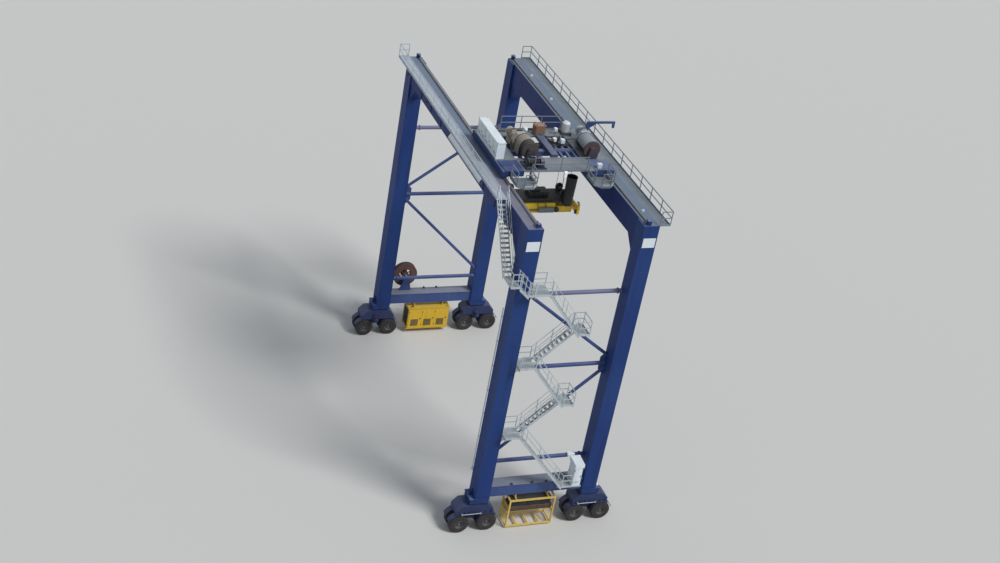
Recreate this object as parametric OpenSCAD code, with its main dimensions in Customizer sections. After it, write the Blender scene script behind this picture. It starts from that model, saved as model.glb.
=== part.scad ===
/* [Portal] */
// Distance between the near and the far leg centres, along the trolley's travel
gauge = 25600; // [23400:100:27000]
// Distance between the left and the right leg centres, along the crane's travel
leg_pitch = 8320; // [8100:20:8600]
// Width of a leg across the crane's travel face
leg_w = 1120; // [1000:10:1200]
// Depth of a leg along the trolley's travel
leg_d = 1200; // [1100:10:1300]
// Height of the foot flange above the ground
foot_z = 2900; // [2850:10:3000]
// Height of the girder's top flange above the ground
girder_top = 25000; // [24000:50:26000]
// Width of a girder
girder_w = 900; // [800:10:1000]
// Depth of a girder
girder_h = 1750; // [1500:10:1900]
// Reach of the haunch where a girder meets a leg
haunch = 1300; // [900:10:1500]
// Height of a sill beam
sill_h = 950; // [850:10:1000]
// Depth of a sill beam along the trolley's travel
sill_d = 900; // [800:10:1000]
// Thickness of flange and gusset plates
plate_t = 40; // [25:5:60]

/* [End bracing] */
// Height of the lower tie above the ground
tie_low_z = 5450; // [5300:10:5600]
// Height of the middle tie above the ground
tie_mid_z = 13450; // [13200:10:13700]
// Height of the upper tie above the ground
tie_top_z = 19400; // [19250:10:19500]
// Diameter of the tie tubes
tie_dia = 300; // [250:10:320]
// Diameter of the diagonal tubes
diagonal_dia = 240; // [200:10:260]
// How far the bracing lies behind the leg's centre line
bracing_back = 430; // [400:5:440]
// Length of the node plate on the braced leg
node_plate_len = 1900; // [1500:50:2100]

/* [Stairs and walkways] */
// Clear width of a stair flight
stair_w = 640; // [600:10:680]
// Height of the top landing of the stair tower
landing_top = 20300; // [20100:50:20400]
// Drop of a flight that faces the outside
flight_front = 3300; // [3200:50:3400]
// Drop of a flight on the inner lane
flight_rear = 2550; // [2450:50:2600]
// Length of the landings beside the left leg
landing_left = 1200; // [1100:20:1250]
// Length of the landings at mid width
landing_right = 850; // [800:10:900]
// Distance from where the upper diagonal meets the right landing's level to that landing
landing_lap = 55; // [40:5:90]
// Run of the lowest flight
lowest_run = 3950; // [3800:10:4000]
// Length of the platform at the foot of the stair
foot_pad = 1550; // [1500:10:1600]
// Drop from the girder walkway to the landing outside the leg
girder_flight = 4000; // [3900:50:4050]
// Width of the girder walkways
walkway_w = 800; // [700:10:820]
// Height of the handrails
rail_h = 1050; // [1000:10:1100]
// Thickness of handrail posts and rails
rail_t = 50; // [40:5:60]
// Distance between handrail posts
post_gap = 1700; // [1400:50:2000]
// Depth of a tread
tread_d = 230; // [200:5:250]
// Step height of the flights
step_h = 240; // [220:5:260]

/* [Wheels and bogies] */
// Outer diameter of a tyre
tyre_dia = 1500; // [1400:10:1540]
// Width of a tyre
tyre_w = 430; // [380:10:440]
// Diameter of the rim seat
rim_dia = 640; // [600:10:680]
// Distance between the two axles of a bogie
wheel_base = 2100; // [2050:10:2200]
// Distance between the twin tyres' centres
twin_gap = 890; // [880:10:940]
// How far a bogie's pivot stands outside its leg's centre
pivot_out = 350; // [250:10:380]
// Thickness of a bogie's walking beam
beam_w = 330; // [280:10:350]
// Diameter of the axles
axle_dia = 180; // [160:5:200]

/* [Trolley] */
// Place of the trolley's centre along its travel
trolley_y = -3100; // [-4000:50:-2000]
// Length of the trolley along its travel
trolley_len = 5900; // [5800:50:6400]
// Height of the trolley rails
rail_top_h = 110; // [90:5:130]
// Height of the trolley frame above the rails
trolley_frame_h = 520; // [450:10:600]
// Diameter of a hoist drum
drum_dia = 1060; // [900:10:1080]
// Length of a hoist drum
drum_len = 1500; // [1300:10:1600]

/* [Hoist and spreader] */
// Height of the spreader's underside above the ground
spreader_z = 20800; // [20600:50:21200]
// Distance from the portal's middle to the right to the middle of the load
load_trim = 350; // [0:50:400]
// Length over the spreader's end beams
spreader_len = 6058; // [6058:1:6100]
// Width over the spreader's corners
spreader_w = 2438; // [2400:2:2460]
// Distance between corner fittings along the spreader
lock_x = 5853; // [5840:1:5860]
// Distance between corner fittings across the spreader
lock_y = 2259; // [2250:1:2265]
// Height of the spreader's end beams
end_beam_h = 520; // [450:10:560]
// Diameter of a twistlock's shank
lock_dia = 56; // [50:1:60]
// Diameter of a hoist rope
rope_dia = 30; // [24:1:34]
// Diameter of the cable basket's rim
basket_dia = 760; // [700:10:800]
// Height of the cable basket
basket_h = 2250; // [2000:50:2300]

/* [Boxes and cages] */
// Width of the control cabinet at the foot of the stair
cabinet_w = 620; // [560:10:700]
// Height of the control cabinet at the foot of the stair
cabinet_h = 1900; // [1700:50:2000]
// Length of the cage under the near sill beam
cage_len = 3600; // [3400:50:3700]
// Height of the cage
cage_h = 2400; // [2200:50:2450]
// Length of the power pack under the far sill beam
pack_len = 3600; // [3200:50:3800]
// Length of the electrical cabinet on the trolley
electric_len = 3950; // [3600:50:4000]

/* [Fits] */
// Gap between pieces that lie against each other
seat = 0.3; // [0.2:0.1:0.5]
// Running gap between moving pieces
running = 20; // [10:1:30]
// Radial clearance of an axle in its bore
bore_clear = 0.08; // [0.05:0.01:0.1]

/* [Hidden] */
$fn = 48;
blue = "#2a3f86";
galvanised = "#9aa3a8";
yellow = "#d8ae2a";
white = "#e8ecec";
dark = "#2b2d31";
rubber = "#232325";
brown = "#5b4138";

leg_x = leg_pitch / 2;
leg_y = gauge / 2;
leg_in_x = leg_x - leg_w / 2;
leg_out_x = leg_x + leg_w / 2;
leg_in_y = leg_y - leg_d / 2;
leg_out_y = leg_y + leg_d / 2;
sill_top = foot_z + sill_h;
girder_bottom = girder_top - girder_h;
girder_x = leg_in_x + girder_w / 2 + 150;
girder_in_x = girder_x - girder_w / 2;
girder_out_x = girder_x + girder_w / 2;
flange_over = 40;
bracing_y = leg_y - bracing_back;
walk_in_x = girder_out_x + flange_over;
walk_out_x = walk_in_x + walkway_w;
pivot_x = leg_x + pivot_out;
foot_box_z = foot_z - 400;
ring_h = 100;
yoke_top = foot_box_z - ring_h;
axle_z = tyre_dia / 2;
fender_clear = 100;
fender_t = 20;
yoke_bottom = axle_z + tyre_dia / 2 + fender_clear;
yoke_len = wheel_base + 700;
yoke_w = twin_gap + tyre_w - 40;
rail_x = girder_in_x + 200;
rail_w = 90;
rail_z = girder_top + rail_top_h;
deck_z = rail_z + trolley_frame_h;
lane_split = -(leg_out_y + seat);
lane_front = lane_split - stair_w;
lane_gap = 5;
lane_rear = lane_split + lane_gap + stair_w;
left_edge = -leg_in_x + landing_left;
levels = [
    landing_top, landing_top - flight_front, landing_top - flight_front - flight_rear,
    landing_top - 2 * flight_front - flight_rear, landing_top - 2 * flight_front - 2 * flight_rear
];
stair_foot_x = left_edge + lowest_run;
stringer_t = 25;
stringer_h = 240;
landing_t = 60;
bracket_t = 40;
stiffener_gap = 2400;

// Centre line heights of the diagonals at the left and at the right leg
upper_ends = [tie_top_z + 250, tie_mid_z + 700];
lower_ends = [tie_low_z + 700, tie_mid_z - 450];

function diagonal_rise(ends) = (ends[1] - ends[0]) / (2 * leg_in_x);

// Upright height from a diagonal's centre line to its upper edge
function diagonal_edge(ends) = diagonal_dia / 2 * sqrt(1 + pow(diagonal_rise(ends), 2));

// Height of a diagonal's upper edge at a distance along the crane, and the other way round
function diagonal_top(ends, x) = ends[0] + (x + leg_in_x) * diagonal_rise(ends) + diagonal_edge(ends);
function diagonal_x(ends, z) = (z - ends[0] - diagonal_edge(ends)) / diagonal_rise(ends) - leg_in_x;

right_edge = diagonal_x(upper_ends, levels[1] - landing_t) + landing_lap;
far_edge = right_edge + landing_right;

// A slab with its outline in the X and Z plane
module xz(y0, y1) {
    translate([0, max(y0, y1), 0]) rotate([90, 0, 0]) linear_extrude(abs(y1 - y0)) children();
}

// A slab with its outline in the Y and Z plane
module yz(x0, x1) {
    translate([min(x0, x1), 0, 0]) rotate([90, 0, 90]) linear_extrude(abs(x1 - x0)) children();
}

// A bar along Y with its cross section in the X and Z plane
module yz_section(len) {
    translate([0, len, 0]) rotate([90, 0, 0]) linear_extrude(len) children();
}

// A box between two corners
module block(a, b) {
    translate([min(a[0], b[0]), min(a[1], b[1]), min(a[2], b[2])])
        cube([abs(b[0] - a[0]), abs(b[1] - a[1]), abs(b[2] - a[2])]);
}

// A sloping bar with upright ends
module slope(a, b, h) {
    polygon([a, b, b + [0, h], a + [0, h]]);
}

// A round tube between two points of an upright plane across the crane
module tube_xz(a, b, y, dia, over = 400) {
    run = b - a;
    len = norm(run);
    translate([a[0], y, a[1]])
        rotate([0, 90 - atan2(run[1], run[0]), 0])
            translate([0, 0, -over]) cylinder(d = dia, h = len + 2 * over);
}

buffer_end = leg_out_y - 300;

// Box girder with top and bottom flanges, haunches at the legs, web stiffeners outside and buffers
module girder() {
    block([girder_in_x, -leg_in_y, girder_bottom], [girder_out_x, leg_in_y, girder_top - plate_t]);
    block(
        [girder_in_x - flange_over, -leg_out_y, girder_top - plate_t],
        [girder_out_x + flange_over, leg_out_y, girder_top]
    );
    yz(girder_in_x + 60, girder_out_x - 60)
        for (s = [-1, 1])
            polygon([
                [s * leg_in_y, girder_bottom], [s * (leg_in_y - haunch), girder_bottom],
                [s * leg_in_y, girder_bottom - haunch]
            ]);
    for (y = [-leg_in_y + stiffener_gap : stiffener_gap : leg_in_y - stiffener_gap / 2])
        block([girder_out_x, y - 15, girder_bottom + 60], [girder_out_x + flange_over, y + 15, girder_top - plate_t]);
    for (s = [-1, 1]) {
        block([rail_x - 130, s * buffer_end, girder_top], [rail_x + 130, s * (leg_out_y - 60), girder_top + 320]);
        translate([rail_x, s * buffer_end, rail_z + 130])
            rotate([s * 90, 0, 0]) cylinder(d = 150, h = 180);
    }
}

module left_girder() {
    color(blue) mirror([1, 0, 0]) girder();
}

module right_girder() {
    color(blue) girder();
}

// Box leg with a foot box that reaches out to the bogie's pivot
module leg() {
    block([leg_in_x, leg_in_y, foot_z + plate_t], [leg_out_x, leg_out_y, girder_top - plate_t]);
    block([leg_in_x - 40, leg_in_y - 40, foot_z], [pivot_x + 560, leg_out_y + 40, foot_z + plate_t]);
    block([leg_in_x + 40, leg_in_y, foot_box_z], [pivot_x + 520, leg_out_y, foot_z]);
    xz(leg_y - 20, leg_y + 20)
        polygon([
            [leg_out_x, foot_z + plate_t], [pivot_x + 480, foot_z + plate_t], [leg_out_x, foot_z + 700]
        ]);
}

module near_left_leg() {
    color(blue) rotate([0, 0, 180]) leg();
}

module near_right_leg() {
    color(blue) mirror([0, 1, 0]) leg();
}

module far_left_leg() {
    color(blue) mirror([1, 0, 0]) leg();
}

module far_right_leg() {
    color(blue) leg();
}

// Sill beam between the feet, with end plates and upper flange
module sill() {
    block([-leg_in_x + 40, leg_y - sill_d / 2, foot_z + plate_t], [leg_in_x - 40, leg_y + sill_d / 2, sill_top - plate_t]);
    block([-leg_in_x, leg_y - sill_d / 2 - 40, sill_top - plate_t], [leg_in_x, leg_y + sill_d / 2 + 40, sill_top]);
    for (s = [-1, 1])
        block([s * (leg_in_x - 40), leg_y - sill_d / 2 - 40, foot_z + plate_t], [s * leg_in_x, leg_y + sill_d / 2 + 40, sill_top]);
}

module near_sill() {
    color(blue) mirror([0, 1, 0]) sill();
}

reel_x = -2150;
reel_r = 1050;
reel_z = sill_top + reel_r + 150;
reel_y = leg_out_y + 60;
reel_w = 420;

module far_sill() {
    color(blue) {
        sill();
        xz(leg_y + 150, leg_y + 300)
            polygon([
                [reel_x - 500, sill_top], [reel_x + 500, sill_top],
                [reel_x + 160, reel_z + 160], [reel_x - 160, reel_z + 160]
            ]);
        translate([reel_x, leg_y + 300, reel_z]) rotate([-90, 0, 0])
            cylinder(d = 220, h = reel_y + reel_w - leg_y - 300 - 80);
    }
}

// End bracing of three level ties and two diagonals that meet on the right leg
module end_bracing() {
    for (z = [tie_low_z, tie_mid_z, tie_top_z])
        translate([-leg_in_x, bracing_y, z]) rotate([0, 90, 0]) cylinder(d = tie_dia, h = 2 * leg_in_x);
    intersection() {
        for (ends = [upper_ends, lower_ends])
            tube_xz([-leg_in_x, ends[0]], [leg_in_x, ends[1]], bracing_y, diagonal_dia);
        block([-leg_in_x, bracing_y - tie_dia, 0], [leg_in_x, bracing_y + tie_dia, girder_top]);
    }
    xz(bracing_y - plate_t / 2, bracing_y + plate_t / 2)
        polygon([
            [leg_in_x, tie_mid_z - node_plate_len / 2], [leg_in_x - 420, tie_mid_z - 500],
            [leg_in_x - 420, tie_mid_z + 500], [leg_in_x, tie_mid_z + node_plate_len / 2]
        ]);
}

module near_bracing() {
    color(blue) mirror([0, 1, 0]) end_bracing();
}

module far_bracing() {
    color(blue) mirror([1, 0, 0]) end_bracing();
}

// Crane rails on the inner edges of the girders, between the buffers
module trolley_rails() {
    foot_w = rail_w + 40;
    color("dimgray")
        for (s = [-1, 1])
            translate([s * rail_x, -buffer_end, girder_top])
                yz_section(2 * buffer_end)
                    polygon([
                        [-foot_w / 2, 0], [foot_w / 2, 0], [foot_w / 2, 15], [rail_w / 4, 30],
                        [rail_w / 4, rail_top_h - 40], [rail_w / 2, rail_top_h - 30], [rail_w / 2, rail_top_h],
                        [-rail_w / 2, rail_top_h], [-rail_w / 2, rail_top_h - 30], [-rail_w / 4, rail_top_h - 40],
                        [-rail_w / 4, 30], [-foot_w / 2, 15]
                    ]);
}

// Posts, knee rail and top rail along one edge
module rail_along_y(x, y0, y1, z) {
    n = max(1, round((y1 - y0) / post_gap));
    for (i = [0 : n])
        translate([x - rail_t / 2, y0 + (y1 - y0 - rail_t) * i / n, z]) cube([rail_t, rail_t, rail_h]);
    for (h = [rail_h / 2, rail_h - rail_t])
        block([x - rail_t / 2, y0, z + h], [x + rail_t / 2, y1, z + h + rail_t]);
    block([x - rail_t / 2, y0, z], [x - rail_t / 2 + 10, y1, z + 110]);
}

module rail_along_x(y, x0, x1, z) {
    n = max(1, round((x1 - x0) / post_gap));
    for (i = [0 : n])
        translate([x0 + (x1 - x0 - rail_t) * i / n, y - rail_t / 2, z]) cube([rail_t, rail_t, rail_h]);
    for (h = [rail_h / 2, rail_h - rail_t])
        block([x0, y - rail_t / 2, z + h], [x1, y + rail_t / 2, z + h + rail_t]);
    block([x0, y - rail_t / 2, z], [x1, y - rail_t / 2 + 10, z + 110]);
}

walk_z = girder_top;
stair_reach = 4000;
stair_top_y = -leg_out_y + stair_reach;
bracket_drop = 600;

// Sloping bracket under a platform, from the wall that carries it to its tip
module bracket(y, wall_x, tip_x, z) {
    xz(y - bracket_t / 2, y + bracket_t / 2)
        polygon([[wall_x, z], [tip_x, z], [tip_x, z - 80], [wall_x, z - bracket_drop]]);
}

// Walkway outside a girder on brackets, with a handrail on its outer edge
module walkway(y0, y1) {
    block([walk_in_x, y0, walk_z - plate_t], [walk_out_x, y1, walk_z]);
    rail_along_y(walk_out_x - rail_t / 2, y0, y1, walk_z);
    rail_along_x(y1 - rail_t / 2, walk_in_x, walk_out_x, walk_z);
    for (y = [-leg_in_y + stiffener_gap / 2 : stiffener_gap : leg_in_y])
        if (y > y0)
            bracket(y, girder_out_x, walk_out_x - 30, walk_z - plate_t);
}

tray_drop = 380;
tray_w = 160;
tray_y0 = -6500;
tray_y1 = 300;

// Cable tray on straps outside the walkway
module cable_tray() {
    z = walk_z - tray_drop;
    block([walk_out_x, tray_y0, z], [walk_out_x + tray_w, tray_y1, z + 10]);
    for (x = [walk_out_x, walk_out_x + tray_w - 10])
        block([x, tray_y0, z], [x + 10, tray_y1, z + 130]);
    for (y = [tray_y0 + 300 : (tray_y1 - tray_y0 - 640) / 3 : tray_y1 - 300])
        block([walk_out_x, y, z], [walk_out_x + 10, y + 40, walk_z]);
}

module left_walkway() {
    color(galvanised) mirror([1, 0, 0]) {
        walkway(stair_top_y, leg_out_y);
        cable_tray();
    }
}

module right_walkway() {
    color(galvanised) {
        walkway(-leg_out_y, leg_out_y);
        rail_along_x(-leg_out_y + rail_t / 2, walk_in_x, walk_out_x, walk_z);
    }
}

girder_landing_z = walk_z - girder_flight;
girder_stair_x1 = -leg_out_x - 60;
girder_stair_x0 = girder_stair_x1 - stair_w;
girder_stair_low_y = -leg_in_y - 300;
girder_stair_high_y = stair_top_y - seat;

// Flight outside the left leg, from the girder walkway down to the landing beside the leg
module girder_stair() {
    color(galvanised) {
        for (x = [girder_stair_x0, girder_stair_x1 - stringer_t])
            yz(x, x + stringer_t)
                stair_side([girder_stair_low_y, girder_landing_z], [girder_stair_high_y, walk_z]);
        block(
            [girder_stair_x0, lane_front, girder_landing_z - landing_t],
            [girder_stair_x1, girder_stair_low_y, girder_landing_z]
        );
        rail_along_y(girder_stair_x0 + rail_t / 2, lane_front, girder_stair_low_y, girder_landing_z);
        rail_along_x(lane_front + rail_t / 2, girder_stair_x0, girder_stair_x1, girder_landing_z);
        for (y = [-leg_out_y + 150, girder_stair_low_y - 150])
            bracket(y, -leg_out_x - seat, girder_stair_x0 + 30, girder_landing_z - landing_t);
    }
}

// Stringer with knee rail, handrail and posts, between two nosing points
module stair_side(a, b) {
    slope([a[0], a[1] - stringer_h], [b[0], b[1] - stringer_h], stringer_h);
    for (h = [rail_h / 2, rail_h - rail_t])
        slope([a[0], a[1] + h], [b[0], b[1] + h], rail_t);
    for (f = [0.1, 0.5, 0.9])
        translate(a + (b - a) * f - [rail_t / 2, stringer_h / 2]) square([rail_t, rail_h + stringer_h / 2 + rail_t / 2]);
}

// One flight along the crane's travel
module flight(a, b, y0, y1) {
    for (y = [y0, y1 - stringer_t])
        xz(y, y + stringer_t) stair_side(a, b);
}

// Plate with edge bars below both ends
module landing(x0, x1, z) {
    block([x0, lane_front, z - landing_t], [x1, lane_rear, z]);
    for (x = [x0, x1 - 40])
        block([x, lane_front, z - 160], [x + 40, lane_rear, z - landing_t]);
}

// Bearer from under a right landing back to a foot on the diagonal
module landing_bearer(x, z, ends) {
    w = 80;
    top = z - landing_t;
    block([x, lane_rear - 200, top - bracket_t], [x + w, -bracing_y + w / 2, top]);
    xz(-bracing_y - w / 2, -bracing_y + w / 2)
        polygon([
            [x, top], [x, diagonal_top(ends, x) + foot_gap(ends)],
            [x + w, diagonal_top(ends, x + w) + foot_gap(ends)], [x + w, top]
        ]);
}

// Upright gap that leaves the seat gap square to a diagonal
function foot_gap(ends) = seat * sqrt(1 + pow(diagonal_rise(ends), 2));

step_run = 750;
step_foot_x = girder_stair_x1 + step_run;

// Stair tower inside the near end frame, with landings beside the left leg and at mid width
module stair_tower() {
    color(galvanised) {
        for (z = [levels[0], levels[2], levels[4]]) {
            landing(-leg_in_x + seat, left_edge, z);
            for (y = [lane_rear - rail_t / 2, lane_front + rail_t / 2])
                rail_along_x(y, -leg_in_x + seat, left_edge, z);
            for (y = [-leg_out_y + 60, lane_rear - 60])
                bracket(y, -leg_in_x + seat, left_edge - 60, z - landing_t);
        }
        for (z = [levels[1], levels[3]]) {
            landing(right_edge, far_edge, z);
            for (y = [lane_rear - rail_t / 2, lane_front + rail_t / 2])
                rail_along_x(y, right_edge, far_edge, z);
            rail_along_y(far_edge - rail_t / 2, lane_front, lane_rear, z);
        }
        for (x = [right_edge + 150, far_edge - 150]) {
            landing_bearer(x, levels[1], upper_ends);
            landing_bearer(x, levels[3], lower_ends);
        }
        for (i = [0, 2])
            flight([left_edge, levels[i]], [right_edge, levels[i + 1]], lane_front, lane_split);
        for (i = [1, 3])
            flight([left_edge, levels[i + 1]], [right_edge, levels[i]], lane_split + lane_gap, lane_rear);
        flight([left_edge, levels[4]], [stair_foot_x, sill_top], lane_front, lane_split);
        foot_landing();
        flight([girder_stair_x1 + seat, girder_landing_z], [step_foot_x, landing_top], lane_front, lane_split);
        block([step_foot_x, lane_front, landing_top - landing_t], [-leg_in_x + seat, lane_split, landing_top]);
        rail_along_x(lane_front + rail_t / 2, step_foot_x, -leg_in_x + seat, landing_top);
    }
}

// Platform level with the near sill beam where the lowest flight ends
module foot_landing() {
    face_y = -leg_y - sill_d / 2;
    edge_y = face_y - plate_t;
    block([stair_foot_x, lane_front, sill_top - landing_t], [stair_foot_x + foot_pad, edge_y - seat, sill_top]);
    rail_along_x(lane_front + rail_t / 2, stair_foot_x, cabinet_x0 - hood_over - seat, sill_top);
    for (x = [stair_foot_x + 20, stair_foot_x + foot_pad / 2, stair_foot_x + foot_pad - 60])
        yz(x, x + bracket_t)
            polygon([
                [lane_front + 40, sill_top - landing_t], [face_y - seat, sill_top - landing_t],
                [face_y - seat, sill_top - bracket_drop], [lane_front + 40, sill_top - landing_t - 80]
            ]);
}

// Height of a tread's top below the nosing line, and a tread's thickness
tread_low = 60;
tread_t = 35;

// Treads of one flight
module treads(a, b, y0, y1) {
    n = floor(abs(a[1] - b[1]) / step_h);
    for (i = [1 : n - 1])
        translate([a[0] + (b[0] - a[0]) * i / n - tread_d / 2, y0 + stringer_t + seat, a[1] + (b[1] - a[1]) * i / n - tread_low])
            cube([tread_d, y1 - y0 - 2 * (stringer_t + seat), tread_t]);
}

module stair_treads() {
    color(galvanised) {
        for (i = [0, 2])
            treads([left_edge, levels[i]], [right_edge, levels[i + 1]], lane_front, lane_split);
        for (i = [1, 3])
            treads([left_edge, levels[i + 1]], [right_edge, levels[i]], lane_split + lane_gap, lane_rear);
        treads([left_edge, levels[4]], [stair_foot_x, sill_top], lane_front, lane_split);
        treads([girder_stair_x1 + seat, girder_landing_z], [step_foot_x, landing_top], lane_front, lane_split);
        translate([girder_stair_x0, 0, 0]) mirror([1, -1, 0])
            treads([girder_stair_low_y, girder_landing_z], [girder_stair_high_y, walk_z], 0, stair_w);
    }
}

cabinet_x0 = stair_foot_x + foot_pad - 100 - cabinet_w;
cabinet_y0 = lane_front + 60;
cabinet_d = 950;
hood_over = 60;
hood_h = 300;

// White control cabinet with a hood, on the platform at the foot of the stair
module sill_cabinet() {
    y1 = cabinet_y0 + cabinet_d;
    z1 = sill_top + cabinet_h;
    color(white) {
        block([cabinet_x0, cabinet_y0, sill_top], [cabinet_x0 + cabinet_w, y1, z1]);
        yz(cabinet_x0 - hood_over, cabinet_x0 + cabinet_w + hood_over)
            polygon([
                [cabinet_y0 - hood_over, z1 - hood_h], [y1 + hood_over, z1 - hood_h],
                [y1 + hood_over, z1 + 80], [cabinet_y0 - hood_over, z1]
            ]);
    }
}

cage_x0 = -1950;
cage_x1 = cage_x0 + cage_len;
cage_z0 = 150;
cage_z1 = cage_z0 + cage_h;
cage_y0 = -leg_y - 700;
cage_y1 = -leg_y + 650;
cage_bar = 110;
shelf_z = 1350;
trunk_h = 420;
trunk_y0 = cage_y0 + 260;
hanger_in = 500;
hanger_w = 90;

// Open yellow cage hung under the near sill beam, with a trunk on its middle rails
module equipment_cage() {
    ends_x = [cage_x0, cage_x1 - cage_bar];
    ends_y = [cage_y0, cage_y1 - cage_bar];
    color(yellow) {
        for (x = ends_x, y = ends_y)
            block([x, y, cage_z0], [x + cage_bar, y + cage_bar, cage_z1]);
        for (z = [cage_z0, cage_z1 - cage_bar], y = ends_y)
            block([cage_x0, y, z], [cage_x1, y + cage_bar, z + cage_bar]);
        block([cage_x0, ends_y[1], shelf_z - cage_bar], [cage_x1, cage_y1, shelf_z]);
        for (z = [cage_z0, shelf_z - cage_bar, cage_z1 - cage_bar], x = ends_x)
            block([x, cage_y0, z], [x + cage_bar, cage_y1, z + cage_bar]);
        for (i = [1 : 3])
            block(
                [cage_x0 + (cage_len - cage_bar) * i / 4, cage_y0, cage_z0],
                [cage_x0 + (cage_len - cage_bar) * i / 4 + cage_bar, cage_y1, cage_z0 + cage_bar]
            );
        block([cage_x0 + cage_bar, trunk_y0, shelf_z - 20], [cage_x1 - cage_bar, ends_y[1] + 30, shelf_z + trunk_h]);
        for (x = [cage_x0 + hanger_in, cage_x1 - hanger_in - hanger_w]) {
            for (y = [-leg_y - 300, -leg_y + 210])
                block([x, y, cage_z1 - hanger_w], [x + hanger_w, y + hanger_w, foot_z + plate_t]);
            block([x, cage_y0, cage_z1 - hanger_w], [x + hanger_w, cage_y1, cage_z1]);
        }
    }
}

// Dark unit on the trunk in the cage
module cage_unit() {
    top = cage_z1 - cage_bar - 30;
    color(dark) {
        block([cage_x0 + 250, trunk_y0 + 60, shelf_z + trunk_h], [cage_x1 - 250, cage_y1 - cage_bar - 60, top]);
        for (x = [cage_x0 + 700, (cage_x0 + cage_x1) / 2, cage_x1 - 700])
            translate([x, trunk_y0 + 61, (shelf_z + trunk_h + top) / 2])
                rotate([90, 0, 0]) cylinder(d = top - shelf_z - trunk_h - 120, h = 60);
    }
}

pack_z0 = 450;
pack_z1 = 2500;
pack_y0 = leg_y - 650;
pack_y1 = leg_y + 700;

// Closed yellow power pack hung under the far sill beam, with a roof plate and two skids
module power_pack() {
    color(yellow) {
        block([-pack_len / 2, pack_y0, pack_z0], [pack_len / 2, pack_y1, pack_z1 - 60]);
        block([-pack_len / 2 - 50, pack_y0 - 50, pack_z1 - 60], [pack_len / 2 + 50, pack_y1 + 50, pack_z1]);
        for (y = [pack_y0 + 100, pack_y1 - 220])
            block([-pack_len / 2 - 100, y, pack_z0 - 100], [pack_len / 2 + 100, y + 120, pack_z0]);
        for (x = [-pack_len / 2 + hanger_in, pack_len / 2 - hanger_in - hanger_w], y = [leg_y - 300, leg_y + 210])
            block([x, y, pack_z1], [x + hanger_w, y + hanger_w, foot_z + plate_t]);
    }
}

reel_plate = 20;
reel_rim = 90;

// Side frame of the reel: rim, hub plate and spokes
module reel_side() {
    linear_extrude(reel_plate) {
        difference() {
            circle(r = reel_r);
            circle(r = reel_r - reel_rim);
        }
        circle(r = 300);
        for (i = [0 : 7])
            rotate(i * 45) translate([250, -35]) square([reel_r - 300, 70]);
    }
}

// Cable reel that turns on the stand behind the far sill beam
module cable_reel() {
    color(brown)
        translate([reel_x, reel_y, reel_z]) rotate([-90, 0, 0])
            difference() {
                union() {
                    reel_side();
                    translate([0, 0, reel_w - reel_plate]) reel_side();
                    difference() {
                        cylinder(r = reel_r - reel_rim - 20, h = reel_w - 1);
                        translate([0, 0, -1]) cylinder(r = reel_r * 0.5, h = reel_w + 1);
                    }
                    cylinder(d = 360, h = -lane_front - reel_y);
                }
                translate([0, 0, -1]) cylinder(d = 220 + 2 * bore_clear, h = reel_w - 60);
            }
}

// Bogie frame: slewing ring, yoke box, fenders and the walking beam that carries both axles
module bogie() {
    color(blue)
        difference() {
            union() {
                translate([0, 0, yoke_top]) cylinder(d = 1000, h = ring_h - seat);
                xz(-yoke_w / 2, yoke_w / 2)
                    polygon([
                        [-yoke_len / 2, yoke_bottom], [yoke_len / 2, yoke_bottom],
                        [yoke_len / 2, yoke_bottom + 350], [yoke_len / 2 - 450, yoke_top],
                        [-yoke_len / 2 + 450, yoke_top], [-yoke_len / 2, yoke_bottom + 350]
                    ]);
                xz(-beam_w / 2, beam_w / 2)
                    polygon([
                        [-wheel_base / 2 - 220, axle_z - 220], [-wheel_base / 2 + 220, axle_z - 220],
                        [-400, axle_z + 150], [400, axle_z + 150],
                        [wheel_base / 2 - 220, axle_z - 220], [wheel_base / 2 + 220, axle_z - 220],
                        [wheel_base / 2 + 220, axle_z + 200], [700, yoke_bottom], [-700, yoke_bottom],
                        [-wheel_base / 2 - 220, axle_z + 200]
                    ]);
                for (s = [-1, 1], x = [-wheel_base / 2, wheel_base / 2])
                    fender(x, s);
            }
            for (x = [-wheel_base / 2, wheel_base / 2])
                translate([x, beam_w, axle_z]) rotate([90, 0, 0]) cylinder(d = axle_dia + 2 * bore_clear, h = 2 * beam_w);
        }
}

module fender(x, s) {
    r = tyre_dia / 2 + fender_clear;
    y0 = s > 0 ? beam_w / 2 + 10 : -yoke_w / 2;
    difference() {
        translate([x, y0, axle_z]) rotate([-90, 0, 0])
            difference() {
                cylinder(r = r + fender_t, h = yoke_w / 2 - beam_w / 2 - 10);
                translate([0, 0, -1]) cylinder(r = r, h = yoke_w);
            }
        block([x - 2 * r, -yoke_w, axle_z - 2 * r], [x + 2 * r, yoke_w, axle_z + r * 0.35]);
        if (x < 0)
            block([-0.1, -yoke_w, 0], [2 * r, yoke_w, 2 * girder_h]);
        else
            block([0.1, -yoke_w, 0], [-2 * r, yoke_w, 2 * girder_h]);
    }
}

module near_left_bogie() {
    translate([-pivot_x, -leg_y, 0]) bogie();
}

module near_right_bogie() {
    translate([pivot_x, -leg_y, 0]) bogie();
}

module far_left_bogie() {
    translate([-pivot_x, leg_y, 0]) bogie();
}

module far_right_bogie() {
    translate([pivot_x, leg_y, 0]) bogie();
}

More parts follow.
